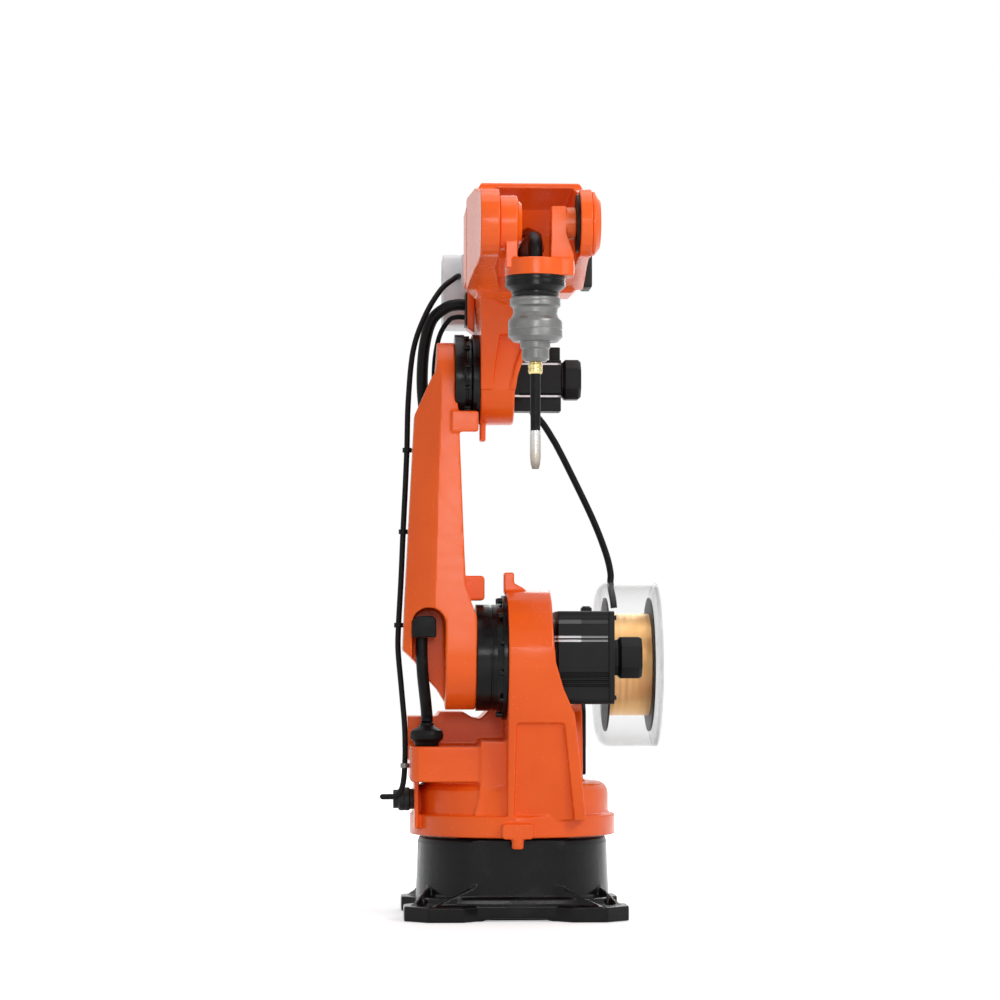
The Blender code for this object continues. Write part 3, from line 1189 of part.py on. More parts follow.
def leads(rubber):
    lead("hose_lower", HOSE_LOWER, THICK_LEAD, 9, "column", rubber)
    lead("hose_upper", HOSE_UPPER, THICK_LEAD, 16, "elbow", rubber)
    lead("signal_lead", SIGNAL_LEAD, THIN_LEAD - 0.001, 20, "elbow", rubber)
    lead("dress_lead_upper", DRESS_UPPER, THIN_LEAD, 20, "elbow", rubber)
    lead("dress_lead_middle", DRESS_MIDDLE, THIN_LEAD, 8, "lower_arm", rubber)
    lead("dress_lead_lower", DRESS_LOWER, THIN_LEAD, 18, "column", rubber)
    lead("liner_upper", LINER_UPPER, LINER, 14, "elbow", rubber)
    lead("liner_lower", LINER_LOWER, LINER, 14, "column", rubber)
    lead("torch_lead", TORCH_ROUTE, TORCH_LEAD, 20, "forearm", rubber)


def build():
    clear_scene()
    make_pivots()
    orange, casting, motor = orange_paint(), black_casting(), black_motor()
    rubber, plastic, metal = black_rubber(), black_plastic(), grey_metal()
    clear, grey = clear_plastic(), grey_paint()
    base_casting(casting)
    column_casting(orange)
    column_socket(plastic)
    shoulder_reducer(casting)
    shoulder_motor(motor)
    shoulder_encoder(motor)
    hose_gland(rubber)
    spool_bracket(motor)
    spool_spindle(plastic)
    spool_drum(clear)
    spool_lid(clear)
    spool_frame(plastic)
    wire_winding(copper_wire())
    lower_arm_casting(orange)
    hose_guide(rubber)
    elbow_reducer(casting)
    elbow_casting(orange)
    elbow_motor(motor)
    elbow_encoder(motor)
    connector_box(orange)
    connector_plate(plastic)
    roll_motor(motor)
    wire_feeder(grey)
    forearm_casting(orange)
    right_cover(orange)
    bearing_seal(rubber)
    forearm_box(plastic)
    wrist_housing(orange)
    reducer_ring(casting)
    crash_sensor(metal)
    torch_nut(brass())
    torch_neck(rubber)
    torch_nozzle(bright_nozzle())
    clips(rubber, metal)
    leads(rubber)


build()
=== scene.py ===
"""Looks of a six axis welding robot arm: its surfaces, leads, lamps and camera.

The CAD frame is loaded as it is. Finished pieces ride on its bodies and stand for its nodes.
"""
import math

import bmesh
import bpy
import numpy as np
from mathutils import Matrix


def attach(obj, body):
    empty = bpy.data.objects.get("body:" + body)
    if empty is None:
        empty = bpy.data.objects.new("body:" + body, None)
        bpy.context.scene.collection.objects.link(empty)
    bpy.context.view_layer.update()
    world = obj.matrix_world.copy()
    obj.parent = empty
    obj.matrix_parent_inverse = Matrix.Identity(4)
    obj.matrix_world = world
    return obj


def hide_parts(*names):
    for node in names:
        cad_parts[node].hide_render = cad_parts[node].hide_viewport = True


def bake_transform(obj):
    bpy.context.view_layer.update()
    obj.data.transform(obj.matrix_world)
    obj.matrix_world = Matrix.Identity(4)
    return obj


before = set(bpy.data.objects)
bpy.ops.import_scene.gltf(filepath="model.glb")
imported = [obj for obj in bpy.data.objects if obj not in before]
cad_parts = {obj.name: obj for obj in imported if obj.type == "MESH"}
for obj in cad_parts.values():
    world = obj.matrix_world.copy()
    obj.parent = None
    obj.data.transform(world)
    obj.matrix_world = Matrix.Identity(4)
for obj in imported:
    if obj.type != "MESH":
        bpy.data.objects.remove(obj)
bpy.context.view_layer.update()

# Where the photograph was taken from
CAMERA_DISTANCE = 7.3
CAMERA_HEIGHT = 0.55
CAMERA_BEARING = math.radians(3.0)
CAMERA_HEADING = math.radians(2.795)
CAMERA_PITCH = math.radians(2.73)
CAMERA_LENS = 120.8

# Joint axes and other places taken over from the part
SHOULDER = (-0.150, 0.555)
ELBOW = (-0.150, 1.1475)
WRIST = (-0.860, 1.3915)
SPOOL = (0.250, 0.540)
FOREARM_Z = 1.3915

# Slots along the motors: heights over the axis, where one of them is wide, and a seam with no slot, only a
# painted highlight
SHOULDER_SLOTS = (0.0435, 0.0355, -0.0340, -0.0410, -0.0500, -0.0590)
WIDE_SLOT, WIDE_SLOT_HALF = 0.0755, 0.0045
ELBOW_SLOTS = (0.0315, -0.0330)
ELBOW_SEAM = -0.0375

# Wire spool and its drum, along X from left to right, and the gap between fitted parts
DRUM_LEFT, DRUM_RIGHT, DRUM_RADIUS, DRUM_CURVE, DRUM_WALL = 0.203, 0.338, 0.185, 0.028, 0.003
REEL_LEFT, REEL_RIGHT, REEL_RADIUS, REEL_HUB, REEL_FLANGE = 0.2205, 0.3235, 0.150, 0.050, 0.004
GAP = 0.0003

LEAD_STEP = 0.003
FLOOR_RADIUS = 14.0
TAU = 2 * math.pi


def set_camera():
    """Camera at the photograph's bearing, turned so that the robot stands where it does there."""
    camera = bpy.data.objects.new("photo_camera", bpy.data.cameras.new("photo_camera"))
    bpy.context.scene.collection.objects.link(camera)
    camera.data.sensor_width = 36.0
    camera.data.lens = CAMERA_LENS
    camera.location = (-CAMERA_DISTANCE * math.sin(CAMERA_BEARING),
                       -CAMERA_DISTANCE * math.cos(CAMERA_BEARING), CAMERA_HEIGHT)
    camera.rotation_euler = (math.pi / 2 + CAMERA_PITCH, 0.0, -CAMERA_HEADING)
    camera.data.clip_end = 60.0
    bpy.context.scene.camera = camera


# Surfaces

def grid_faces(rows, columns, wrap_rows=False, wrap_columns=True):
    """Corner numbers of the quads of a rows x columns grid, joined round where it wraps."""
    r = np.arange(rows if wrap_rows else rows - 1)
    c = np.arange(columns if wrap_columns else columns - 1)
    r, c = [a.ravel() for a in np.meshgrid(r, c, indexing="ij")]
    r2, c2 = (r + 1) % rows, (c + 1) % columns
    return np.stack([r * columns + c, r * columns + c2, r2 * columns + c2, r2 * columns + c], 1)


def mesh_of(name, points, faces, look, smooth=35):
    """Object at the origin whose mesh has these points and quads; its faces are turned outwards."""
    mesh = bpy.data.meshes.new(name)
    mesh.from_pydata(points.reshape(-1, 3), [], faces)
    mesh.materials.append(look)
    bm = bmesh.new()
    bm.from_mesh(mesh)
    bmesh.ops.remove_doubles(bm, verts=bm.verts, dist=1e-6)
    bmesh.ops.dissolve_degenerate(bm, edges=bm.edges, dist=1e-7)
    bmesh.ops.recalc_face_normals(bm, faces=bm.faces)
    bm.to_mesh(mesh)
    bm.free()
    mesh.shade_smooth()
    mesh.set_sharp_from_angle(angle=math.radians(smooth))
    piece = bpy.data.objects.new(name, mesh)
    bpy.context.scene.collection.objects.link(piece)
    return piece


def joined(name, parts, look, smooth=35):
    """One piece of several (points, faces) shells, with their corner numbers shifted in turn."""
    points, faces, start = [], [], 0
    for shell, quads in parts:
        shell = shell.reshape(-1, 3)
        points.append(shell)
        faces.append(quads + start)
        start += len(shell)
    return mesh_of(name, np.concatenate(points), np.concatenate(faces), look, smooth)


def on_axis(axis, level, u, v):
    """Stacks plane coordinates u, v at a level along X, Y or Z into points."""
    level = np.broadcast_to(level, np.broadcast(level, u, v).shape)
    u, v = np.broadcast_to(u, level.shape), np.broadcast_to(v, level.shape)
    order = {"X": (level, u, v), "Y": (u, level, v), "Z": (u, v, level)}[axis]
    return np.stack(order, -1)


def eased(corners, radius, steps=5):
    """Open line through the corners, each inner corner replaced by an arc of that radius or less.

    An arc touches both legs at radius x tan(half the turn) from the corner, at most 0.45 of a leg.
    """
    corners = np.array(corners, float)
    line = [corners[:1]]
    for before, here, after in zip(corners, corners[1:], corners[2:]):
        first, last = before - here, after - here
        a, b = np.linalg.norm(first), np.linalg.norm(last)
        first, last = first / a, last / b
        half = 0.5 * math.acos(max(-1.0, min(1.0, float(first @ last))))
        if half > math.radians(87):
            line.append(here[None])
            continue
        reach = min(radius / math.tan(half), 0.45 * a, 0.45 * b)
        t = np.linspace(0, 1, steps + 1)[:, None]
        start, end = here + first * reach, here + last * reach
        line.append((1 - t) ** 2 * start + 2 * t * (1 - t) * here + t ** 2 * end)
    line.append(corners[-1:])
    return np.concatenate(line)


def turned(profile, axis, centre, around=96, ease=0.001, steps=4):
    """Surface of revolution: point(s, t) = centre + radius(s) (cos t, sin t), at level(s)."""
    line = eased(profile, ease, steps) if ease else np.array(profile, float)
    t = np.arange(around) * TAU / around
    r, level = line[:, :1], line[:, 1:]
    shell = on_axis(axis, level, centre[0] + r * np.cos(t), centre[1] + r * np.sin(t))
    closed = np.allclose(line[0], line[-1])
    return shell[:-1] if closed else shell, grid_faces(len(line) - closed, around, wrap_rows=closed)


def rounded_rectangle(half_u, half_v, corner, per_corner=6):
    """Unit directions and quarter centres of a rectangle whose corners are arcs, as (centre, direction)."""
    t = np.linspace(0, math.pi / 2, per_corner)
    turn = np.concatenate([t + q * math.pi / 2 for q in range(4)])
    sign_u = np.repeat([1, -1, -1, 1], per_corner)
    sign_v = np.repeat([1, 1, -1, -1], per_corner)
    return sign_u * (half_u - corner), sign_v * (half_v - corner), np.cos(turn), np.sin(turn)


def rounded_block(axis, low, high, corner, ease=0.002, per_corner=6, steps=5):
    """Box with rounded corners along an axis and eased rims.

    Ring at angle p: the section shrinks by ease (1 - sin p) while its level moves by ease cos p.
    """
    places = {"X": (1, 2, 0), "Y": (0, 2, 1), "Z": (0, 1, 2)}[axis]
    low, high = np.array(low, float)[list(places)], np.array(high, float)[list(places)]
    middle, half = (low + high) / 2, (high - low) / 2
    cu, cv, du, dv = rounded_rectangle(half[0], half[1], corner, per_corner)
    p = np.linspace(0, math.pi / 2, steps)
    inset = np.concatenate([ease * (1 - np.sin(p)), ease * (1 - np.sin(p[::-1]))])
    rise = ease * (1 - np.cos(p))
    level = np.concatenate([low[2] + rise, high[2] - rise[::-1]])
    radius = (corner - inset)[:, None]
    u, v = middle[0] + cu + radius * du, middle[1] + cv + radius * dv
    rings = on_axis(axis, level[:, None], u, v)
    ends = [np.broadcast_to(ring.mean(0), ring.shape) for ring in (rings[0], rings[-1])]
    shell = np.concatenate([ends[0][None], rings, ends[1][None]])
    return shell, grid_faces(len(shell), len(cu))


def frames_along(line):
    """Side and up directions carried along a line without twist, one pair for each point."""
    tangent = np.gradient(line, axis=0)
    tangent /= np.linalg.norm(tangent, axis=1, keepdims=True)
    side = np.cross(tangent[0], [0.31, 0.87, 0.39])
    sides = []
    for direction in tangent:
        side = side - direction * (side @ direction)
        side = side / np.linalg.norm(side)
        sides.append(side)
    sides = np.array(sides)
    return sides, np.cross(tangent, sides)


def smooth_line(route, spacing=0.004):
    """Evenly spaced points on the cubic curve through the route's points.

    Between points b and c, with neighbours a and d, the curve is the usual through-the-points cubic
    (2b + (c-a)t + (2a-5b+4c-d)t^2 + (3b-a-3c+d)t^3) / 2.
    """
    p = np.array(route, float)
    p = np.concatenate([2 * p[:1] - p[1:2], p, 2 * p[-1:] - p[-2:-1]])
    t = np.linspace(0, 1, 24, endpoint=False)[None, :, None]
    a, b, c, d = [p[i:len(p) - 3 + i][:, None, :] for i in range(4)]
    dense = 0.5 * (2 * b + (c - a) * t + (2 * a - 5 * b + 4 * c - d) * t ** 2
                   + (3 * b - a - 3 * c + d) * t ** 3)
    dense = np.concatenate([dense.reshape(-1, 3), p[-2:-1]])
    run = np.concatenate([[0], np.cumsum(np.linalg.norm(np.diff(dense, axis=0), axis=1))])
    even = np.linspace(0, run[-1], max(12, int(run[-1] / spacing)))
    return np.stack([np.interp(even, run, dense[:, i]) for i in range(3)], 1)


def tube(line, radius, around=24):
    """Round tube: point(s, t) = line(s) + radius(s) (cos t side(s) + sin t up(s)), with closed ends."""
    side, up = frames_along(line)
    t = np.arange(around) * TAU / around
    radius = np.broadcast_to(radius, len(line))[:, None, None]
    ring = np.cos(t)[None, :, None] * side[:, None] + np.sin(t)[None, :, None] * up[:, None]
    shell = line[:, None] + radius * ring
    shell = np.concatenate([np.broadcast_to(line[0], shell[:1].shape), shell,
                            np.broadcast_to(line[-1], shell[:1].shape)])
    return shell, grid_faces(len(shell), around)


def round_ended(line, radius, steps=7):
    """The line with its last radius of length as a half ball: radius sqrt(1 - t^2) at t of it."""
    way = (line[-1] - line[-2]) / np.linalg.norm(line[-1] - line[-2])
    kept = line[np.linalg.norm(line - line[-1], axis=1) > radius + 0.0005]
    t = np.sin(np.linspace(0, math.pi / 2, steps))
    ball = line[-1] - way * radius * (1 - t[:, None])
    radii = np.concatenate([np.full(len(kept), radius), radius * np.sqrt(1 - t ** 2)])
    return np.concatenate([kept, ball]), radii


# Finishes

class Link:
    """A node's output socket. Arithmetic on it adds Math nodes and gives the new socket."""

    def __init__(self, finish, socket):
        self.finish, self.socket = finish, socket

    def math(self, operation, *others, swapped=False):
        terms = [self, *others][::-1] if swapped else [self, *others]
        return self.finish.node("ShaderNodeMath", {"operation": operation}, dict(enumerate(terms)))

    def __add__(self, other):
        return self.math("ADD", other)

    def __sub__(self, other):
        return self.math("SUBTRACT", other)

    def __mul__(self, other):
        return self.math("MULTIPLY", other)

    def __rsub__(self, other):
        return self.math("SUBTRACT", other, swapped=True)

    def __truediv__(self, other):
        return self.math("DIVIDE", other)

    __radd__ = __add__
    __rmul__ = __mul__

    def above(self, low, high):
        """0 below low, 1 above high, and a smooth step between them."""
        return self.finish.node("ShaderNodeMapRange", {"interpolation_type": "SMOOTHSTEP"},
                                {"Value": self, "From Min": low, "From Max": high})


class Finish:
    """One material. node() adds a node; the other methods are the few patterns used here."""

    def __init__(self, name, colour, roughness, **fixed):
        self.material = bpy.data.materials.new(name)
        self.material.use_nodes = True
        self.tree = self.material.node_tree
        self.shader = self.tree.nodes["Principled BSDF"]
        self.shader.inputs["Base Color"].default_value = (*colour, 1.0)
        self.shader.inputs["Roughness"].default_value = roughness
        for socket, value in fixed.items():
            self.shader.inputs[socket.replace("_", " ")].default_value = value
        self.places = self.node("ShaderNodeTexCoord", output="Object")

    def node(self, kind, settings=None, inputs=None, output=0):
        """Adds a node of this kind, first with its settings and then with its sockets' values or links."""
        made = self.tree.nodes.new(kind)
        for key, value in (settings or {}).items():
            if key == "stops":
                self.set_stops(made.color_ramp, value)
            else:
                setattr(made, key, value)
        for key, value in (inputs or {}).items():
            self.put(made.inputs[key], value)
        return Link(self, made.outputs[output])

    def set_stops(self, ramp, stops):
        """Gives a ramp its places and colours."""
        while len(ramp.elements) < len(stops):
            ramp.elements.new(0.5)
        for element, (place, colour) in zip(ramp.elements, stops):
            element.position = place
            element.color = (*colour, 1.0)

    def put(self, socket, value):
        """Links a value that varies to the socket, or writes a fixed one into it."""
        if isinstance(value, Link):
            self.tree.links.new(value.socket, socket)
            return
        colour = hasattr(socket.default_value, "__len__") and len(socket.default_value) == 4
        socket.default_value = (*value, 1.0) if colour and len(value) == 3 else value

    def vary(self, **values):
        """Feeds the shader's own sockets with what changes over the surface."""
        for socket, value in values.items():
            self.put(self.shader.inputs[socket.replace("_", " ")], value)
        return self

    def noise(self, scale, detail=3.0, roughness=0.5, places=None):
        return self.node("ShaderNodeTexNoise", None,
                         {"Vector": places or self.places, "Scale": scale, "Detail": detail,
                          "Roughness": roughness})

    def cells(self, scale, places=None):
        """Distance from the nearest of many scattered points."""
        return self.node("ShaderNodeTexVoronoi", {"feature": "F1"},
                         {"Vector": places or self.places, "Scale": scale})

    def stretched(self, x, y, z):
        """Object places, stretched by these factors."""
        return self.node("ShaderNodeVectorMath", {"operation": "MULTIPLY"},
                         {0: self.places, 1: (x, y, z)})

    def part_of(self, axis):
        """One coordinate of the object places."""
        return self.node("ShaderNodeSeparateXYZ", None, {0: self.places}, output="XYZ".index(axis))

    def mix(self, share, first, second):
        """Colour between two colours."""
        return self.node("ShaderNodeMix", {"data_type": "RGBA"}, {0: share, 6: first, 7: second}, output=2)

    def bump(self, height, distance, strength=1.0, below=None):
        inputs = {"Height": height, "Distance": distance, "Strength": strength}
        if below:
            inputs["Normal"] = below
        return self.node("ShaderNodeBump", None, inputs)


def orange_enamel():
    """Stoved orange enamel on a casting: orange peel, a faint cloudiness and an even gloss."""
    f = Finish("orange_enamel", (0.84, 0.112, 0.013), 0.26, Specular_IOR_Level=0.27)
    cloud = f.noise(5.0, 4.0)
    colour = f.mix(cloud.above(0.35, 0.70), (0.880, 0.118, 0.010), (0.820, 0.100, 0.008))
    peel = f.bump(f.noise(330.0, 2.0), 0.0003, 0.16)
    dents = f.bump(f.noise(38.0, 1.0), 0.0014, 0.16, below=peel)
    return f.vary(Base_Color=colour, Roughness=0.19 + f.noise(60.0, 5.0) * 0.13, Normal=dents)


def black_enamel():
    """Black enamel on rough castings, with a soft gloss over the sand texture."""
    f = Finish("black_enamel", (0.004, 0.004, 0.0045), 0.24, Specular_IOR_Level=0.17)
    dust = f.noise(16.0, 6.0).above(0.46, 0.78)
    colour = f.mix(dust, (0.0035, 0.0035, 0.004), (0.008, 0.0078, 0.0078))
    sand = f.bump(f.noise(420.0, 3.0), 0.0005, 0.35)
    waves = f.bump(f.noise(26.0, 3.0), 0.0020, 0.25, below=sand)
    return f.vary(Base_Color=colour, Roughness=0.15 + dust * 0.14 + f.noise(120.0) * 0.08, Normal=waves)


def motor_black(name="motor_black", axis=0.0, bands=(), middle=0.0, end=0.0):
    """Satin black motor paint with a fine even grain.

    Bands (height over the axis, half width, share) are painted highlights: near-white lines for the light
    caught in the motor's slots, full up to the place middle along X, and less from there to end.
    """
    f = Finish(name, (0.007, 0.007, 0.008), 0.42, Specular_IOR_Level=0.15)
    cloud = f.noise(11.0, 5.0).above(0.40, 0.75)
    colour = f.mix(cloud, (0.005, 0.005, 0.0055), (0.009, 0.0088, 0.009))
    grain = f.bump(f.noise(700.0, 2.0), 0.0004, 0.30)
    # Painted highlight: each band mixes the paint toward near-white where a slot would catch the light
    for height, half, share in bands:
        inside = 1 - (f.part_of("Z") - (axis + height)).math("ABSOLUTE").above(half - 0.0004, half + 0.0004)
        along = f.part_of("X")
        fade = 1 - along.above(middle - 0.004, middle) * 0.6 - along.above(end - 0.001, end) * 0.4
        colour = f.mix(inside * fade * share, colour, (0.86, 0.87, 0.88))
    return f.vary(Base_Color=colour, Roughness=0.36 + f.noise(90.0, 4.0) * 0.16, Normal=grain)


def cable_rubber():
    """Extruded black cable jacket: a dull skin with scuffs and faint flow marks."""
    f = Finish("cable_rubber", (0.008, 0.008, 0.008), 0.45, Specular_IOR_Level=0.10)
    scuff = f.noise(32.0, 6.0, 0.6).above(0.50, 0.72)
    colour = f.mix(scuff, (0.007, 0.007, 0.0075), (0.016, 0.0155, 0.0155))
    skin = f.bump(f.noise(520.0, 2.0), 0.0003, 0.25)
    return f.vary(Base_Color=colour, Roughness=0.34 + scuff * 0.22 + f.noise(150.0) * 0.08, Normal=skin)


def moulded_black():
    """Injection moulded black plastic with a fine spark grain."""
    f = Finish("moulded_black", (0.009, 0.009, 0.010), 0.5, Specular_IOR_Level=0.25)
    cloud = f.noise(9.0, 5.0).above(0.38, 0.72)
    colour = f.mix(cloud, (0.008, 0.008, 0.0085), (0.014, 0.014, 0.0145))
    grain = f.bump(f.cells(900.0), 0.0003, 0.30)
    return f.vary(Base_Color=colour, Roughness=0.42 + f.noise(210.0) * 0.14, Normal=grain)


def blasted_grey():
    """Bead blasted and anodised grey metal with faint lathe rings round the flange axis."""
    f = Finish("blasted_grey", (0.17, 0.17, 0.17), 0.34, Metallic=0.55)
    stain = f.noise(24.0, 6.0).above(0.42, 0.78)
    colour = f.mix(stain, (0.190, 0.189, 0.185), (0.140, 0.138, 0.134))
    rings = f.node("ShaderNodeTexWave", {"wave_type": "BANDS", "bands_direction": "Z"},
                   {"Vector": f.places, "Scale": 220.0, "Distortion": 0.6, "Detail": 1.0})
    beads = f.bump(f.noise(850.0, 2.0), 0.0004, 0.35)
    lathe = f.bump(rings, 0.0003, 0.10, below=beads)
    return f.vary(Base_Color=colour, Roughness=0.25 + f.noise(130.0) * 0.12 + stain * 0.06, Normal=lathe)


def turned_brass():
    """Turned brass, a little tarnished."""
    f = Finish("turned_brass", (0.60, 0.49, 0.21), 0.28, Metallic=1.0)
    tarnish = f.noise(70.0, 6.0).above(0.42, 0.72)
    colour = f.mix(tarnish, (0.66, 0.55, 0.25), (0.46, 0.35, 0.14))
    marks = f.bump(f.noise(60.0, 2.0, places=f.stretched(1, 1, 26)), 0.0002, 0.35)
    return f.vary(Base_Color=colour, Roughness=0.22 + tarnish * 0.20, Normal=marks)


def heated_nozzle():
    """Plated nozzle, dulled and straw brown towards the arc, with fine spatter."""
    f = Finish("heated_nozzle", (0.62, 0.60, 0.57), 0.3, Metallic=0.85)
    height = f.part_of("Z") + (f.noise(90.0, 4.0) - 0.5) * 0.012
    tint = f.node("ShaderNodeValToRGB",
                  {"stops": [(0.0, (0.17, 0.14, 0.12)), (0.25, (0.38, 0.33, 0.28)),
                             (0.55, (0.50, 0.47, 0.44)), (1.0, (0.55, 0.54, 0.53))]},
                  {0: (height - 0.917) / 0.074})
    spatter = 1 - f.cells(420.0).above(0.16, 0.30)
    low = 1 - height.above(0.925, 0.955)
    marks = f.bump(spatter * low + f.noise(60.0, 2.0, places=f.stretched(1, 1, 26)) * 0.25, 0.0004, 0.6)
    return f.vary(Base_Color=tint, Roughness=0.27 + low * 0.22 + f.noise(120.0) * 0.08, Normal=marks)


def clear_shell():
    """Clear moulded plastic: nearly invisible face on, and milky where it is seen edge on."""
    f = Finish("clear_shell", (0.34, 0.35, 0.36), 0.06, IOR=1.45)
    edge = f.node("ShaderNodeLayerWeight", None, {"Blend": 0.30}, output="Facing")
    haze = f.noise(18.0, 5.0).above(0.35, 0.75)
    alpha = 0.010 + edge * edge * 0.64 + haze * 0.005
    ripple = f.bump(f.noise(22.0, 2.0), 0.0015, 0.12)
    return f.vary(Alpha=alpha, Roughness=0.05 + haze * 0.06, Normal=ripple)


def copper_turns():
    """Copper coated welding wire, wound in close turns side by side, with painted shade between the turns.
    """
    f = Finish("copper_turns", (0.84, 0.50, 0.20), 0.30, Metallic=0.80)
    cloud = f.noise(13.0, 5.0).above(0.35, 0.72)
    colour = f.mix(cloud, (0.88, 0.55, 0.24), (0.78, 0.44, 0.16))
    turns = f.node("ShaderNodeTexWave", {"wave_type": "BANDS", "bands_direction": "X"},
                   {"Vector": f.places, "Scale": 260.0, "Distortion": 1.0, "Detail": 2.0,
                    "Detail Scale": 0.6})
    # Painted shade: the grooves between turns are darkened toward brown
    shade = f.mix(turns * 0.30, colour, (0.55, 0.28, 0.10))
    return f.vary(Base_Color=shade, Roughness=0.28 + f.noise(95.0) * 0.16,
                  Normal=f.bump(turns, 0.0004, 0.40))


def grey_powder():
    """Light grey powder coat with a fine texture."""
    f = Finish("grey_powder", (0.78, 0.79, 0.80), 0.45)
    cloud = f.noise(6.0, 5.0).above(0.40, 0.75)
    colour = f.mix(cloud, (0.80, 0.81, 0.82), (0.74, 0.745, 0.75))
    texture = f.bump(f.cells(520.0), 0.0003, 0.35)
    return f.vary(Base_Color=colour, Roughness=0.40 + f.noise(160.0) * 0.12, Normal=texture)


# Pieces: each rides on its body and stands for its node

def place(piece, body, node, slot):
    """Puts a finished piece on its body, in place of its node. Its slot argument is not used."""
    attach(piece, body)
    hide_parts(*([node] if isinstance(node, str) else node))
    return piece


def merged_copy(node, name, look):
    """Copy of a CAD node's mesh with its loose triangles merged and its flat faces joined."""
    bm = bmesh.new()
    bm.from_mesh(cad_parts[node].data)
    bmesh.ops.remove_doubles(bm, verts=bm.verts, dist=2e-6)
    bmesh.ops.dissolve_degenerate(bm, edges=bm.edges, dist=1e-6)
    bmesh.ops.dissolve_limit(bm, angle_limit=math.radians(0.5), verts=bm.verts, edges=bm.edges)
    mesh = bpy.data.meshes.new(name)
    bm.to_mesh(mesh)
    bm.free()
    mesh.materials.clear()
    mesh.materials.append(look)
    piece = bpy.data.objects.new(name, mesh)
    bpy.context.scene.collection.objects.link(piece)
    return piece


def settled(piece):
    """Writes the piece's modifiers into its mesh."""
    depsgraph = bpy.context.evaluated_depsgraph_get()
    mesh = bpy.data.meshes.new_from_object(piece.evaluated_get(depsgraph), depsgraph=depsgraph)
    piece.modifiers.clear()
    piece.data = mesh
    return piece


def soften_shading(piece, rounds=70, spread=5.0):
    """Shading directions shared among neighbours that turn by little, so that facets shade as curves.

    n <- unit(n + sum over neighbours m of w m), with w = exp(-(1 - n.m) / (1 - cos spread)).
    """
    mesh = piece.data
    corners = np.empty(2 * len(mesh.edges), np.int32)
    mesh.edges.foreach_get("vertices", corners)
    a, b = corners.reshape(-1, 2).T
    n = np.empty(3 * len(mesh.vertices), np.float32)
    mesh.vertex_normals.foreach_get("vector", n)
    n = n.reshape(-1, 3)
    for _ in range(rounds):
        w = np.exp(((n[a] * n[b]).sum(1) - 1) / (1 - math.cos(math.radians(spread))))
        n = n + np.stack([np.bincount(a, w * n[b, i], len(n)) + np.bincount(b, w * n[a, i], len(n))
                          for i in range(3)], 1)
        n /= np.linalg.norm(n, axis=1, keepdims=True)
    mesh.normals_split_custom_set_from_vertices(n)


def cast_piece(node, name, look, voxel, rounds, share=0.6):
    """Casting: the CAD form resampled on a fine lattice and smoothed, so that its edges are cast radii.

    Its flat places then give up faces, until this share of them is left.
    """
    piece = merged_copy(node, name, look)
    lattice = piece.modifiers.new("lattice", "REMESH")
    lattice.mode = "VOXEL"
    lattice.voxel_size = voxel
    lattice.adaptivity = 0.0
    soft = piece.modifiers.new("cast_radii", "SMOOTH")
    soft.factor = 0.5
    soft.iterations = rounds
    thin = piece.modifiers.new("fewer_flat_faces", "DECIMATE")
    thin.ratio = share
    settled(piece)
    piece.data.shade_smooth()
    soften_shading(piece)
    return piece


def crisp_piece(node, name, look, width=0.0012, segments=3):
    """Cut or moulded piece: the CAD form with small rounded edges."""
    piece = merged_copy(node, name, look)
    edge = piece.modifiers.new("edges", "BEVEL")
    edge.width = width
    edge.segments = segments
    edge.limit_method = "ANGLE"
    edge.angle_limit = math.radians(32)
    edge.use_clamp_overlap = True
    settled(piece)
    piece.data.shade_smooth()
    piece.data.set_sharp_from_angle(angle=math.radians(28))
    return piece


def rounded_square(share, per_corner=7):
    """Outline of a square of half width 1 whose corners are arcs of radius share."""
    cu, cv, du, dv = rounded_rectangle(1.0, 1.0, share, per_corner)
    return cu + share * du, cv + share * dv


def eight_sided(cut, soft=0.07):
    """Outline of a square of half width 1 whose corners are cut off, each edge slightly rounded."""
    s = 1 - cut
    return eased([(1, 0), (1, s), (s, 1), (-s, 1), (-1, s), (-1, -s), (-s, -1), (s, -1), (1, -s), (1, 0)],
                 soft, 3)[:-1].T


def stepped_block(axis, centre, profile, outline, ease=0.0015, steps=4):
    """Outline that grows and shrinks along an axis: half(s) x outline(t), at level(s)."""
    line = eased(profile, ease, steps)
    half, level = line[:, :1], line[:, 1:]
    rings = on_axis(axis, level, centre[0] + half * outline[0], centre[1] + half * outline[1])
    return rings, grid_faces(len(rings), len(outline[0]))


def grooved_body(axis, centre, half, low, high, grooves, ease=0.0015, corner=0.012):
    """Square motor body with grooves (height, half width, depth) along its front and rear.

    Outline: rounded square, moved in on the sides u = -half and u = half by the largest of
    depth (0.5 + 0.5 tanh((half width - |v - height|) / 0.5 mm)) over the grooves.
    """
    v = np.linspace(-half + corner, half - corner, 321)
    height, reach, depth = np.array(grooves).T[:, :, None]
    inset = (depth * (0.5 + 0.5 * np.tanh((reach - np.abs(v - height)) / 0.0005))).max(0)
    t = np.linspace(0, math.pi / 2, 7)[1:-1]
    arcs = [(np.cos(t + q * math.pi / 2), np.sin(t + q * math.pi / 2)) for q in range(4)]
    inner = half - corner
    u_line = [half - inset, inner + corner * arcs[0][0], np.linspace(inner, -inner, 3),
              -inner + corner * arcs[1][0], -half + inset[::-1], -inner + corner * arcs[2][0],
              np.linspace(-inner, inner, 3), inner + corner * arcs[3][0]]
    v_line = [v, inner + corner * arcs[0][1], np.full(3, half), inner + corner * arcs[1][1],
              v[::-1], -inner + corner * arcs[2][1], np.full(3, -half), -inner + corner * arcs[3][1]]
    u, v = np.concatenate(u_line), np.concatenate(v_line)
    levels = np.array([low, low, low + ease, high - ease, high, high])
    scale = np.array([0.0, 1 - ease / half, 1.0, 1.0, 1 - ease / half, 0.0])[:, None]
    rings = on_axis(axis, levels[:, None], centre[0] + u * scale, centre[1] + v * scale)
    return rings, grid_faces(len(rings), len(u))


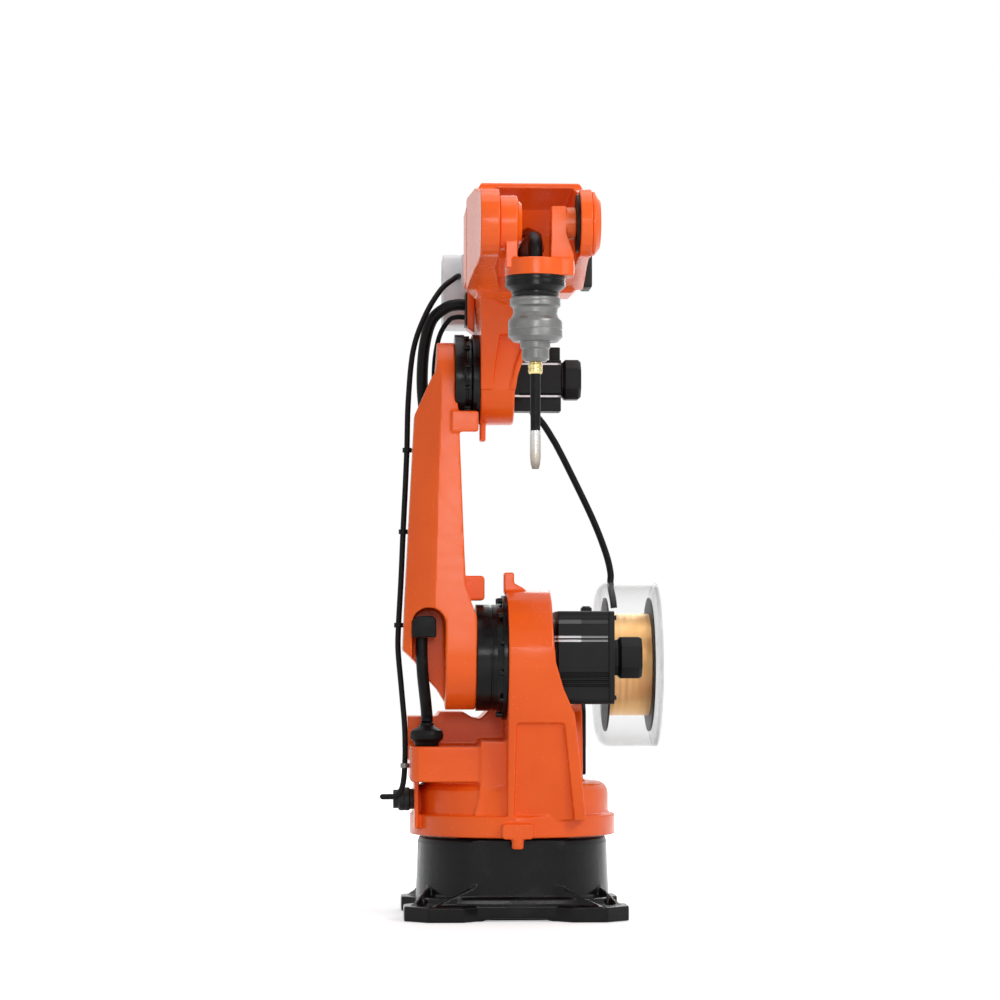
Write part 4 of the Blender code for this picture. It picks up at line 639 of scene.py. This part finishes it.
def socket_screws(axis, centre, ring, count, seat, top, radius, first=0.5, around=24):
    """Cap screws on a circle, each a turned head with a six sided socket.

    Head: radius(s) at level(s); the socket rings use the hexagon radius h cos(30) / cos(t mod 60 - 30).
    """
    way = 1 if top > seat else -1
    depth = 0.45 * abs(top - seat)
    rim = 0.12 * radius
    profile = np.array([(0, top - way * depth), (0.52, top - way * depth), (0.52, top - way * rim * 0.3),
                        (0.60, top), (0.86, top), (0.96, top - way * rim * 0.35),
                        (1, top - way * rim), (1, seat), (0, seat)])
    t = np.arange(around) * TAU / around
    hexagon = math.cos(math.pi / 6) / np.cos(np.mod(t, math.pi / 3) - math.pi / 6)
    six = np.array([1, 1, 1, 0.3, 0, 0, 0, 0, 0])[:, None]
    r = profile[:, :1] * radius * (six * hexagon + (1 - six))
    turn = (np.arange(count) + first) * TAU / count
    u = centre[0] + ring * np.cos(turn)[:, None, None] + r * np.cos(t)
    v = centre[1] + ring * np.sin(turn)[:, None, None] + r * np.sin(t)
    shells = on_axis(axis, profile[None, :, 1:], u, v)
    quads = grid_faces(len(profile), around)
    shift = np.arange(count)[:, None, None] * len(profile) * around
    return shells, (quads[None] + shift).reshape(-1, 4)


def shoulder_drive(black, satin, slotted):
    """Reducer with its ring of screws, finned motor and boxy encoder, all on the shoulder axis."""
    flange, inner = -0.0213, -0.0860
    reducer = [(0, flange), (0.132, flange), (0.132, flange - 0.0099), (0.119, flange - 0.0099),
               (0.113, flange - 0.022), (0.113, flange - 0.030), (0.1115, flange - 0.031),
               (0.1115, flange - 0.034), (0.113, flange - 0.035), (0.113, inner), (0, inner)]
    parts = [turned(reducer, "X", SHOULDER, 128),
             socket_screws("X", SHOULDER, 0.1245, 12, flange - 0.0095, -0.0413, 0.006)]
    place(joined("shoulder_reducer_turned", parts, black), "column", "shoulder_reducer", "black_casting")

    left, right = 0.0723, 0.2033
    body = grooved_body("X", SHOULDER, 0.098, left + 0.012, right - 0.0115,
                        [(WIDE_SLOT, WIDE_SLOT_HALF, 0.002)] + [(z, 0.0021, 0.004) for z in SHOULDER_SLOTS])
    spigot = turned([(0, left), (0.0808, left), (0.0808, left + 0.014), (0, left + 0.014)], "X", SHOULDER)
    plate = stepped_block("X", SHOULDER, [(0, right - 0.012), (0.0980, right - 0.012),
                                          (0.0980, right), (0, right)], rounded_square(0.13))
    plug = rounded_block("X", (right - 0.064, -0.168, 0.640), (right - 0.042, -0.132, 0.6620), 0.005, 0.002)
    top = turned([(0, 0.6610), (0.0085, 0.6610), (0.0085, 0.6645), (0, 0.6645)], "Z",
                 (right - 0.053, -0.150), 32, 0.001)
    bolts = socket_screws("X", SHOULDER, 0.1190, 4, right - 0.0002, right + 0.0045, 0.0050)
    place(joined("shoulder_motor_body", [body, spigot, plate, plug, top, bolts], slotted),
          "column", "shoulder_motor", "black_motor")

    start, end = 0.2036, 0.2676
    cap = stepped_block("X", SHOULDER, [(0, start), (0.0378, start), (0.0378, start + 0.013),
                                        (0.0440, start + 0.019), (0.0440, end - 0.007),
                                        (0.0405, end), (0, end)], eight_sided(0.50), ease=0.0025)
    place(joined("shoulder_encoder_cap", [cap], satin), "column", "shoulder_encoder", "black_motor")


def elbow_drive(black, satin, slotted):
    """The same three pieces on the elbow axis, smaller."""
    right, left = -0.0793, -0.1312
    reducer = [(0, right), (0.096, right), (0.096, right - 0.014), (0.088, right - 0.018),
               (0.088, right - 0.024), (0.0868, right - 0.025), (0.0868, right - 0.028),
               (0.088, right - 0.029), (0.088, left + 0.020), (0.096, left + 0.020), (0.096, left),
               (0, left)]
    parts = [turned(reducer, "X", ELBOW, 128),
             socket_screws("X", ELBOW, 0.0896, 12, left + 0.019, left + 0.031, 0.0048)]
    place(joined("elbow_reducer_turned", parts, black), "lower_arm", "elbow_reducer", "black_casting")

    start, end = -0.0057, 0.095
    body = grooved_body("X", ELBOW, 0.040, start + 0.008, end, [(z, 0.0018, 0.003) for z in ELBOW_SLOTS],
                        0.001, 0.005)
    plate = stepped_block("X", ELBOW, [(0, start), (0.045, start), (0.045, start + 0.010),
                                       (0, start + 0.010)], rounded_square(0.18), 0.001)
    under = rounded_block("X", (start, ELBOW[0] - 0.030, ELBOW[1] - 0.0685),
                          (end, ELBOW[0] + 0.030, ELBOW[1] - 0.032), 0.003, 0.0012)
    plug = rounded_block("X", (end - 0.023, ELBOW[0] - 0.016, ELBOW[1] + 0.034),
                         (end - 0.001, ELBOW[0] + 0.016, ELBOW[1] + 0.0695), 0.004, 0.0015)
    place(joined("elbow_motor_body", [body, plate, under, plug], slotted),
          "elbow", "elbow_motor", "black_motor")

    cap = stepped_block("X", ELBOW, [(0, 0.0953), (0.0361, 0.0953), (0.0361, 0.0990), (0.042, 0.1045),
                                     (0.042, 0.1320), (0.037, 0.138), (0, 0.138)],
                        eight_sided(0.50), 0.0022)
    place(joined("elbow_encoder_cap", [cap], satin), "elbow", "elbow_encoder", "black_motor")


def roll_drive(satin):
    """Motor behind the elbow that turns the forearm."""
    start = -0.0347
    plate = stepped_block("Y", (0, FOREARM_Z), [(0, start), (0.046, start), (0.046, start + 0.008),
                                                (0, start + 0.008)], rounded_square(0.22), 0.001)
    body = grooved_body("Y", (0, FOREARM_Z), 0.040, start + 0.006, start + 0.090,
                        [(z, 0.0013, 0.003) for z in (0.0200, 0.0120, -0.0120, -0.0200)], 0.001, 0.007)
    cap = stepped_block("Y", (0, FOREARM_Z), [(0, start + 0.088), (0.036, start + 0.088),
                                              (0.036, start + 0.112), (0.032, start + 0.118),
                                              (0, start + 0.118)], eight_sided(0.50), 0.002)
    place(joined("roll_motor_body", [plate, body, cap], satin), "elbow", "roll_motor", "black_motor")


def spool_pieces(clear, plastic, copper):
    """Clear drum and lid, dark spool and its winding, turned about the spool axis."""
    end, inside = DRUM_RIGHT - DRUM_WALL - GAP, DRUM_RADIUS - DRUM_WALL
    turn = np.linspace(0, math.pi / 2, 14)
    share, rise = 1 - np.sin(turn), 1 - np.cos(turn)
    bend = DRUM_CURVE - DRUM_WALL
    outer = np.stack([DRUM_RADIUS - DRUM_CURVE * share, DRUM_LEFT + DRUM_CURVE * rise], 1)
    inner = np.stack([inside - bend * share, DRUM_LEFT + DRUM_WALL + bend * rise], 1)
    shell = np.concatenate([[(0, DRUM_LEFT)], outer, [(DRUM_RADIUS, end), (inside, end)], inner[::-1],
                            [(0, DRUM_LEFT + DRUM_WALL)]])
    place(joined("clear_drum", [turned(shell, "X", SPOOL, 160, 0)], clear),
          "column", "spool_drum", "clear_plastic")
    under = DRUM_RIGHT - DRUM_WALL
    lid = [(0, DRUM_RIGHT), (DRUM_RADIUS - 0.0015, DRUM_RIGHT), (DRUM_RADIUS, DRUM_RIGHT - 0.0015),
           (DRUM_RADIUS, under), (inside - GAP, under), (inside - GAP, under - 0.006),
           (inside - DRUM_WALL, under - 0.006), (inside - DRUM_WALL, under), (0, under)]
    place(joined("clear_lid", [turned(lid, "X", SPOOL, 160, 0.0004, 2)], clear),
          "column", "spool_lid", "clear_plastic")
    left, right, seat = REEL_LEFT, REEL_RIGHT, DRUM_LEFT + DRUM_WALL + GAP
    spindle = [(0, seat), (0.045, seat), (0.045, left - 0.002), (0.025, left - 0.002),
               (0.025, right + 0.003), (0, right + 0.003)]
    place(joined("spindle_turned", [turned(spindle, "X", SPOOL, 64, 0.0008)], plastic),
          "column", "spool_spindle", "black_plastic")
    bore, dish = 0.0257, 0.0008
    reel = [(bore, left), (0.060, left), (0.0615, left + dish), (0.144, left + dish), (0.1455, left),
            (REEL_RADIUS, left), (REEL_RADIUS, left + REEL_FLANGE), (REEL_HUB, left + REEL_FLANGE),
            (REEL_HUB, right - REEL_FLANGE), (REEL_RADIUS, right - REEL_FLANGE), (REEL_RADIUS, right),
            (0.1455, right), (0.144, right - dish), (0.0615, right - dish), (0.060, right),
            (bore, right), (bore, left)]
    place(joined("spool_turned", [turned(reel, "X", SPOOL, 128, 0.0004, 2)], plastic),
          "spool", "spool_frame", "black_plastic")
    low, high = left + REEL_FLANGE + GAP, right - REEL_FLANGE - GAP
    level = np.linspace(low, high, 240)
    crown = 0.1144 + 0.0002 * np.sin(level * 190) + 0.0002 * np.sin(level * 431)
    core = REEL_HUB + GAP
    line = np.concatenate([[(core, low)], np.stack([crown, level], 1), [(core, high)], [(core, low)]])
    place(joined("wire_turns", [turned(line, "X", SPOOL, 128, 0)], copper, 50),
          "spool", "wire_winding", "copper_wire")


def turned_piece(name, body, node, slot, look, profile, axis, centre, ease=0.0012, around=96):
    """Piece that is one turned profile of (radius, level) corners."""
    place(joined(name, [turned(profile, axis, centre, around, ease)], look), body, node, slot)


def wrist_and_torch(enamel, black, rubber, grey, gold, nozzle):
    """Cover, seal, reducer ring, sensor and torch, turned about the wrist and flange axes."""
    flange = (0.0, WRIST[0])
    face = 0.1078
    turned_piece("fork_cover", "forearm", "right_cover", "orange_paint", enamel,
                 [(0, face), (0.062, face), (0.062, face + 0.006), (0.048, face + 0.0165),
                  (0, face + 0.0165)],
                 "X", WRIST, 0.0025, 112)
    turned_piece("fork_seal", "forearm", "bearing_seal", "black_rubber", rubber,
                 [(0, 0.0788), (0.056, 0.0788), (0.056, 0.0842), (0, 0.0842)], "X", WRIST, 0.0008)
    top = 1.2877
    ring = [(0, top), (0.058, top), (0.058, top - 0.007), (0.0573, top - 0.0077), (0.0573, top - 0.0093),
            (0.058, top - 0.010), (0.058, top - 0.020), (0.046, top - 0.030), (0.046, top - 0.0335),
            (0.044, 1.2500), (0.044, 1.2483), (0, 1.2483)]
    turned_piece("wrist_reducer_ring", "wrist", "reducer_ring", "black_casting", black, ring, "Z", flange,
                 0.0007, 112)
    sensor = [(0, 1.2477), (0.047, 1.2477), (0.049, 1.2450), (0.049, 1.2405), (0.0483, 1.2400),
              (0.0483, 1.2388), (0.049, 1.2383), (0.049, 1.231), (0.0465, 1.229), (0.0435, 1.226),
              (0.0425, 1.217), (0.0465, 1.209), (0.0515, 1.203), (0.0525, 1.199), (0.0525, 1.1865),
              (0.0518, 1.1858), (0.0518, 1.1842), (0.0525, 1.1835), (0.0525, 1.171), (0.0435, 1.162),
              (0.029, 1.162), (0.029, 1.150), (0.026, 1.147), (0.026, 1.130), (0.021, 1.1235), (0, 1.1235)]
    turned_piece("crash_sensor_turned", "torch", "crash_sensor", "grey_metal", grey, sensor, "Z", flange,
                 0.0010, 128)
    nut = [(0, 1.1232), (0.012, 1.1232), (0.012, 1.119), (0.014, 1.118), (0.014, 1.1125), (0.0132, 1.1118),
           (0.0132, 1.1102), (0.014, 1.1095), (0.014, 1.104), (0.012, 1.100), (0, 1.100)]
    turned_piece("torch_nut_turned", "torch", "torch_nut", "brass", gold, nut, "Z", flange, 0.0005, 64)
    neck = [(0, 1.0997), (0.010, 1.0997), (0.010, 1.020), (0.0095, 1.016), (0.0095, 0.991), (0, 0.991)]
    turned_piece("torch_neck_sleeve", "torch", "torch_neck", "black_rubber", rubber, neck, "Z", flange,
                 0.0006, 48)
    tip = [(0, 0.9907), (0.0105, 0.9907), (0.0105, 0.9860), (0.0100, 0.9852), (0.0100, 0.9838),
           (0.0105, 0.983), (0.0105, 0.940), (0.0090, 0.926), (0.0065, 0.917), (0.0052, 0.917),
           (0.0052, 0.927), (0, 0.927)]
    turned_piece("torch_nozzle_turned", "torch", "torch_nozzle", "bright_nozzle", nozzle, tip, "Z", flange,
                 0.0006, 64)


def gland_and_socket(rubber, plastic):
    """Gland on the column's shelf, where the thick hose starts, and the socket at the column's left."""
    seat = 0.3673
    gland = [(0, seat), (0.025, seat), (0.027, seat + 0.008), (0.0345, seat + 0.015),
             (0.0355, seat + 0.024), (0.0330, seat + 0.033), (0.0200, seat + 0.040),
             (0.0150, seat + 0.044), (0.0140, seat + 0.050), (0, seat + 0.050)]
    turned_piece("hose_gland_moulded", "column", "hose_gland", "black_rubber", rubber, gland, "Z",
                 (-0.1885, -0.130), 0.004)
    face = -0.2148
    socket = [(0, face), (0.022, face), (0.022, face - 0.008), (0.025, face - 0.010), (0.025, face - 0.018),
              (0.0243, face - 0.0187), (0.0243, face - 0.0203), (0.025, face - 0.021),
              (0.025, face - 0.030), (0.020, face - 0.034), (0.020, face - 0.044), (0, face - 0.044)]
    turned_piece("column_socket_turned", "column", "column_socket", "black_plastic", plastic, socket, "X",
                 (-0.055, 0.252), 0.001, 64)


# Routes of the leads, as in the part

HOSE_LOWER = [(-0.1885, -0.130, 0.4180), (-0.1885, -0.130, 0.4320), (-0.1925, -0.155, 0.4680),
              (-0.1990, -0.192, 0.5200), (-0.2015, -0.2020, 0.5650), (-0.2015, -0.2020, 0.5972)]
HOSE_UPPER = [(-0.1065, -0.080, 1.3155), (-0.125, -0.080, 1.3155), (-0.148, -0.075, 1.3090),
              (-0.177, -0.066, 1.2830), (-0.1925, -0.054, 1.2280), (-0.1970, -0.042, 1.1500),
              (-0.1900, -0.030, 1.0800), (-0.1720, -0.022, 1.0200), (-0.1550, -0.026, 0.9790),
              (-0.1480, -0.044, 0.9660), (-0.1480, -0.0598, 0.9650)]
SIGNAL_LEAD = [(-0.1065, -0.058, 1.2910), (-0.1230, -0.058, 1.2910), (-0.1400, -0.052, 1.2840),
               (-0.1600, -0.040, 1.2500), (-0.1700, -0.024, 1.1900), (-0.1680, -0.012, 1.1200),
               (-0.1520, -0.008, 1.0700), (-0.1400, -0.020, 1.0400), (-0.1380, -0.045, 1.0320),
               (-0.1380, -0.0622, 1.0310)]
DRESS_UPPER = [(-0.1180, -0.0008, 1.3850), (-0.1180, -0.020, 1.3850), (-0.1300, -0.045, 1.3750),
               (-0.1584, -0.070, 1.3480), (-0.1916, -0.096, 1.2910), (-0.2180, -0.120, 1.2137),
               (-0.2290, -0.138, 1.1050), (-0.2321, -0.1500, 0.9984)]
DRESS_MIDDLE = [(-0.2321, -0.1500, 0.9984), (-0.2357, -0.1500, 0.9120), (-0.2400, -0.1500, 0.8226),
                (-0.2443, -0.1500, 0.7204), (-0.2496, -0.1500, 0.6240)]
DRESS_LOWER = [(-0.2496, -0.1500, 0.6240), (-0.2502, -0.1480, 0.5700), (-0.2425, -0.1360, 0.4860),
               (-0.2352, -0.1200, 0.4003), (-0.2350, -0.1100, 0.3251), (-0.2400, -0.1060, 0.2800),
               (-0.2520, -0.1050, 0.2610), (-0.2690, -0.1050, 0.2587), (-0.2882, -0.1050, 0.2587)]
LINER_UPPER = [(-0.072, 0.060, 1.2614), (-0.072, 0.060, 1.2350), (-0.0400, 0.075, 1.1900),
               (0.0150, 0.110, 1.1350), (0.0715, 0.150, 1.0822), (0.1052, 0.1722, 1.0347)]
LINER_LOWER = [(0.1052, 0.1722, 1.0347), (0.1338, 0.190, 0.9827), (0.1920, 0.225, 0.8690),
               (0.2237, 0.245, 0.7923), (0.2350, 0.250, 0.7480), (0.2350, 0.250, 0.7256)]
LINER_INSIDE = [(0.2350, 0.250, 0.7256), (0.2365, 0.250, 0.7080), (0.2405, 0.250, 0.6880),
                (0.2430, 0.250, 0.6670)]
TORCH_ROUTE = [(0, -0.4706, 1.3795), (0, -0.560, 1.3800), (0, -0.660, 1.3770), (0, -0.750, 1.3740),
               (0, -0.812, 1.3680), (0, -0.848, 1.3550), (0, -0.860, 1.3400), (0, -0.860, 1.3220)]


def cable(name, route, diameter, look, node, bodies, rounded=False):
    """Lead along its route, on one body, or baked in place on no body when it runs between two."""
    line, radius = smooth_line(route, LEAD_STEP), diameter / 2
    if rounded:
        line, radius = round_ended(line, radius)
    piece = joined(name, [tube(line, radius)], look, 60)
    if len(bodies) == 2:
        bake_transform(piece)
    else:
        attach(piece, bodies[0])
    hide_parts(node)
    return piece


def cables(rubber):
    """All leads, and the end of the wire liner that is seen inside the clear drum."""
    arm, elbow, column = "lower_arm", "elbow", "column"
    cable("thick_hose_lower", HOSE_LOWER, 0.025, rubber, "hose_lower", (column, arm))
    cable("thick_hose_upper", HOSE_UPPER, 0.025, rubber, "hose_upper", (elbow, arm))
    cable("signal_cable", SIGNAL_LEAD, 0.011, rubber, "signal_lead", (elbow, arm))
    cable("outer_lead_upper", DRESS_UPPER, 0.012, rubber, "dress_lead_upper", (elbow, arm))
    cable("outer_lead_middle", DRESS_MIDDLE, 0.012, rubber, "dress_lead_middle", (arm,))
    cable("outer_lead_lower", DRESS_LOWER, 0.012, rubber, "dress_lead_lower", (arm, column),
          rounded=True)
    cable("wire_liner_upper", LINER_UPPER, 0.015, rubber, "liner_upper", (elbow, arm))
    cable("wire_liner_lower", LINER_LOWER, 0.015, rubber, "liner_lower", (arm, column))
    cable("torch_cable", TORCH_ROUTE, 0.028, rubber, "torch_lead", ("forearm", "wrist"))
    inside = joined("liner_in_drum", [tube(smooth_line(LINER_INSIDE, LEAD_STEP), 0.0075)], rubber, 60)
    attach(inside, column)


def castings(enamel, black):
    """The castings keep the CAD's form, with cast radii on their edges."""
    for node, body, slot, look, voxel, rounds in (
            ("base_casting", "base", "black_casting", black, 0.0030, 5),
            ("column_casting", "column", "orange_paint", enamel, 0.0030, 5),
            ("lower_arm_casting", "lower_arm", "orange_paint", enamel, 0.0026, 6),
            ("elbow_casting", "elbow", "orange_paint", enamel, 0.0026, 5),
            ("forearm_casting", "forearm", "orange_paint", enamel, 0.0021, 3),
            ("wrist_housing", "wrist", "orange_paint", enamel, 0.0016, 5)):
        name = node.replace("_casting", "") + "_cast"
        place(cast_piece(node, name, look, voxel, rounds), body, node, slot)


def fitted_parts(enamel, satin, plastic, rubber, grey, powder):
    """Cut, folded and moulded pieces with small rounded edges."""
    for node, body, slot, look, width in (
            ("spool_bracket", "column", "black_motor", satin, 0.0015),
            ("hose_guide", "lower_arm", "black_rubber", rubber, 0.0030),
            ("connector_box", "elbow", "orange_paint", enamel, 0.0025),
            ("connector_plate", "elbow", "black_plastic", plastic, 0.0010),
            ("wire_feeder", "elbow", "grey_paint", powder, 0.0010),
            ("forearm_box", "forearm", "black_plastic", plastic, 0.0025),
            ("lead_clip_1", "lower_arm", "black_rubber", rubber, 0.0004),
            ("lead_clip_2", "lower_arm", "black_rubber", rubber, 0.0004),
            ("lead_clip_3", "lower_arm", "black_rubber", rubber, 0.0004),
            ("lead_tie", "column", "grey_metal", grey, 0.0004)):
        place(crisp_piece(node, node + "_finished", look, width), body, node, slot)


# Studio

def seen_by(tree):
    """1 for camera, mirror and glass rays, 0 for the light that falls on the robot."""
    path = tree.nodes.new("ShaderNodeLightPath")
    total = path.outputs["Is Camera Ray"]
    for ray in ("Is Glossy Ray", "Is Transmission Ray"):
        either = tree.nodes.new("ShaderNodeMath")
        either.operation = "MAXIMUM"
        tree.links.new(total, either.inputs[0])
        tree.links.new(path.outputs[ray], either.inputs[1])
        total = either.outputs[0]
    return total


def studio_floor():
    """Pale floor that keeps the robot's shadow near it, and is plain white to the camera further off."""
    t = np.arange(96) * TAU / 96
    reach = np.array([[0.0], [FLOOR_RADIUS]])
    rings = on_axis("Z", -0.0005, reach * np.cos(t), reach * np.sin(t))
    f = Finish("studio_floor", (0.82, 0.82, 0.82), 0.75, Emission_Strength=1.0)
    floor = joined("studio_floor", [(rings, grid_faces(2, 96))], f.material)
    away = f.node("ShaderNodeVectorMath", {"operation": "LENGTH"}, {0: f.places}, output="Value")
    white = 0.42 + away.above(0.7, 2.4) * 0.58
    f.vary(Emission_Color=f.mix(white * Link(f, seen_by(f.tree)), (0, 0, 0), (1, 1, 1)))


def lamp(name, location, target, size, power):
    """Soft rectangular lamp that faces its target."""
    data = bpy.data.lights.new(name, "AREA")
    data.shape = "RECTANGLE"
    data.size, data.size_y = size
    data.energy = power
    made = bpy.data.objects.new(name, data)
    bpy.context.scene.collection.objects.link(made)
    made.location = location
    direction = np.array(target, float) - np.array(location, float)
    flat = math.hypot(direction[0], direction[1])
    made.rotation_euler = (math.pi / 2 + math.atan2(direction[2], flat), 0.0,
                           math.atan2(-direction[0], direction[1]))


def studio():
    """Soft lamps at a plain level, with a white world behind that only the camera, metal and glass see."""
    studio_floor()
    lamp("key", (3.0, -4.0, 3.2), (0, 0, 0.8), (2.4, 2.0), 108)
    lamp("fill", (-3.8, -3.2, 2.0), (0, 0, 0.8), (2.4, 2.4), 8)
    lamp("strip", (0.05, -5.2, 1.62), (-0.1, 0, 0.9), (1.3, 0.8), 36)
    lamp("top", (0.0, -0.4, 4.4), (0, 0, 0.8), (3.0, 3.0), 48)
    lamp("rim", (1.4, 4.0, 2.6), (0, 0, 0.9), (2.4, 2.0), 40)
    world = bpy.data.worlds.new("studio")
    bpy.context.scene.world = world
    world.use_nodes = True
    tree = world.node_tree
    tree.nodes.clear()
    shades = []
    for colour, strength in (((0.93, 0.96, 1.0, 1.0), 0.40), ((1.0, 1.0, 1.0, 1.0), 1.0)):
        shade = tree.nodes.new("ShaderNodeBackground")
        shade.inputs["Color"].default_value = colour
        shade.inputs["Strength"].default_value = strength
        shades.append(shade)
    blend = tree.nodes.new("ShaderNodeMixShader")
    tree.links.new(seen_by(tree), blend.inputs[0])
    tree.links.new(shades[0].outputs[0], blend.inputs[1])
    tree.links.new(shades[1].outputs[0], blend.inputs[2])
    out = tree.nodes.new("ShaderNodeOutputWorld")
    tree.links.new(blend.outputs[0], out.inputs[0])
    bpy.context.scene.view_settings.view_transform = "Standard"


def build():
    """Camera, materials, pieces and studio in turn."""
    set_camera()
    enamel, black, satin = orange_enamel().material, black_enamel().material, motor_black().material
    rubber, plastic = cable_rubber().material, moulded_black().material
    grey, powder = blasted_grey().material, grey_powder().material
    cables(rubber)
    # Painted highlights: near-white lines on the two upper shoulder slots, and faintly on the wide slot
    bright = [(z, 0.0023, 1.0) for z in SHOULDER_SLOTS[:2]] + [(WIDE_SLOT, WIDE_SLOT_HALF, 0.12)]
    slotted = motor_black("shoulder_motor_black", SHOULDER[1], bright, 0.135, 0.190).material
    shoulder_drive(black, satin, slotted)
    # Painted highlights: near-white lines on the upper elbow slot and on the seam above the block under the
    # motor
    bright = [(z, 0.0020, 1.0) for z in (ELBOW_SLOTS[0], ELBOW_SEAM)]
    slotted = motor_black("elbow_motor_black", ELBOW[1], bright, 0.090, 0.0945).material
    elbow_drive(black, satin, slotted)
    roll_drive(satin)
    spool_pieces(clear_shell().material, plastic, copper_turns().material)
    wrist_and_torch(enamel, black, rubber, grey, turned_brass().material, heated_nozzle().material)
    gland_and_socket(rubber, plastic)
    castings(enamel, black)
    fitted_parts(enamel, satin, plastic, rubber, grey, powder)
    studio()


build()
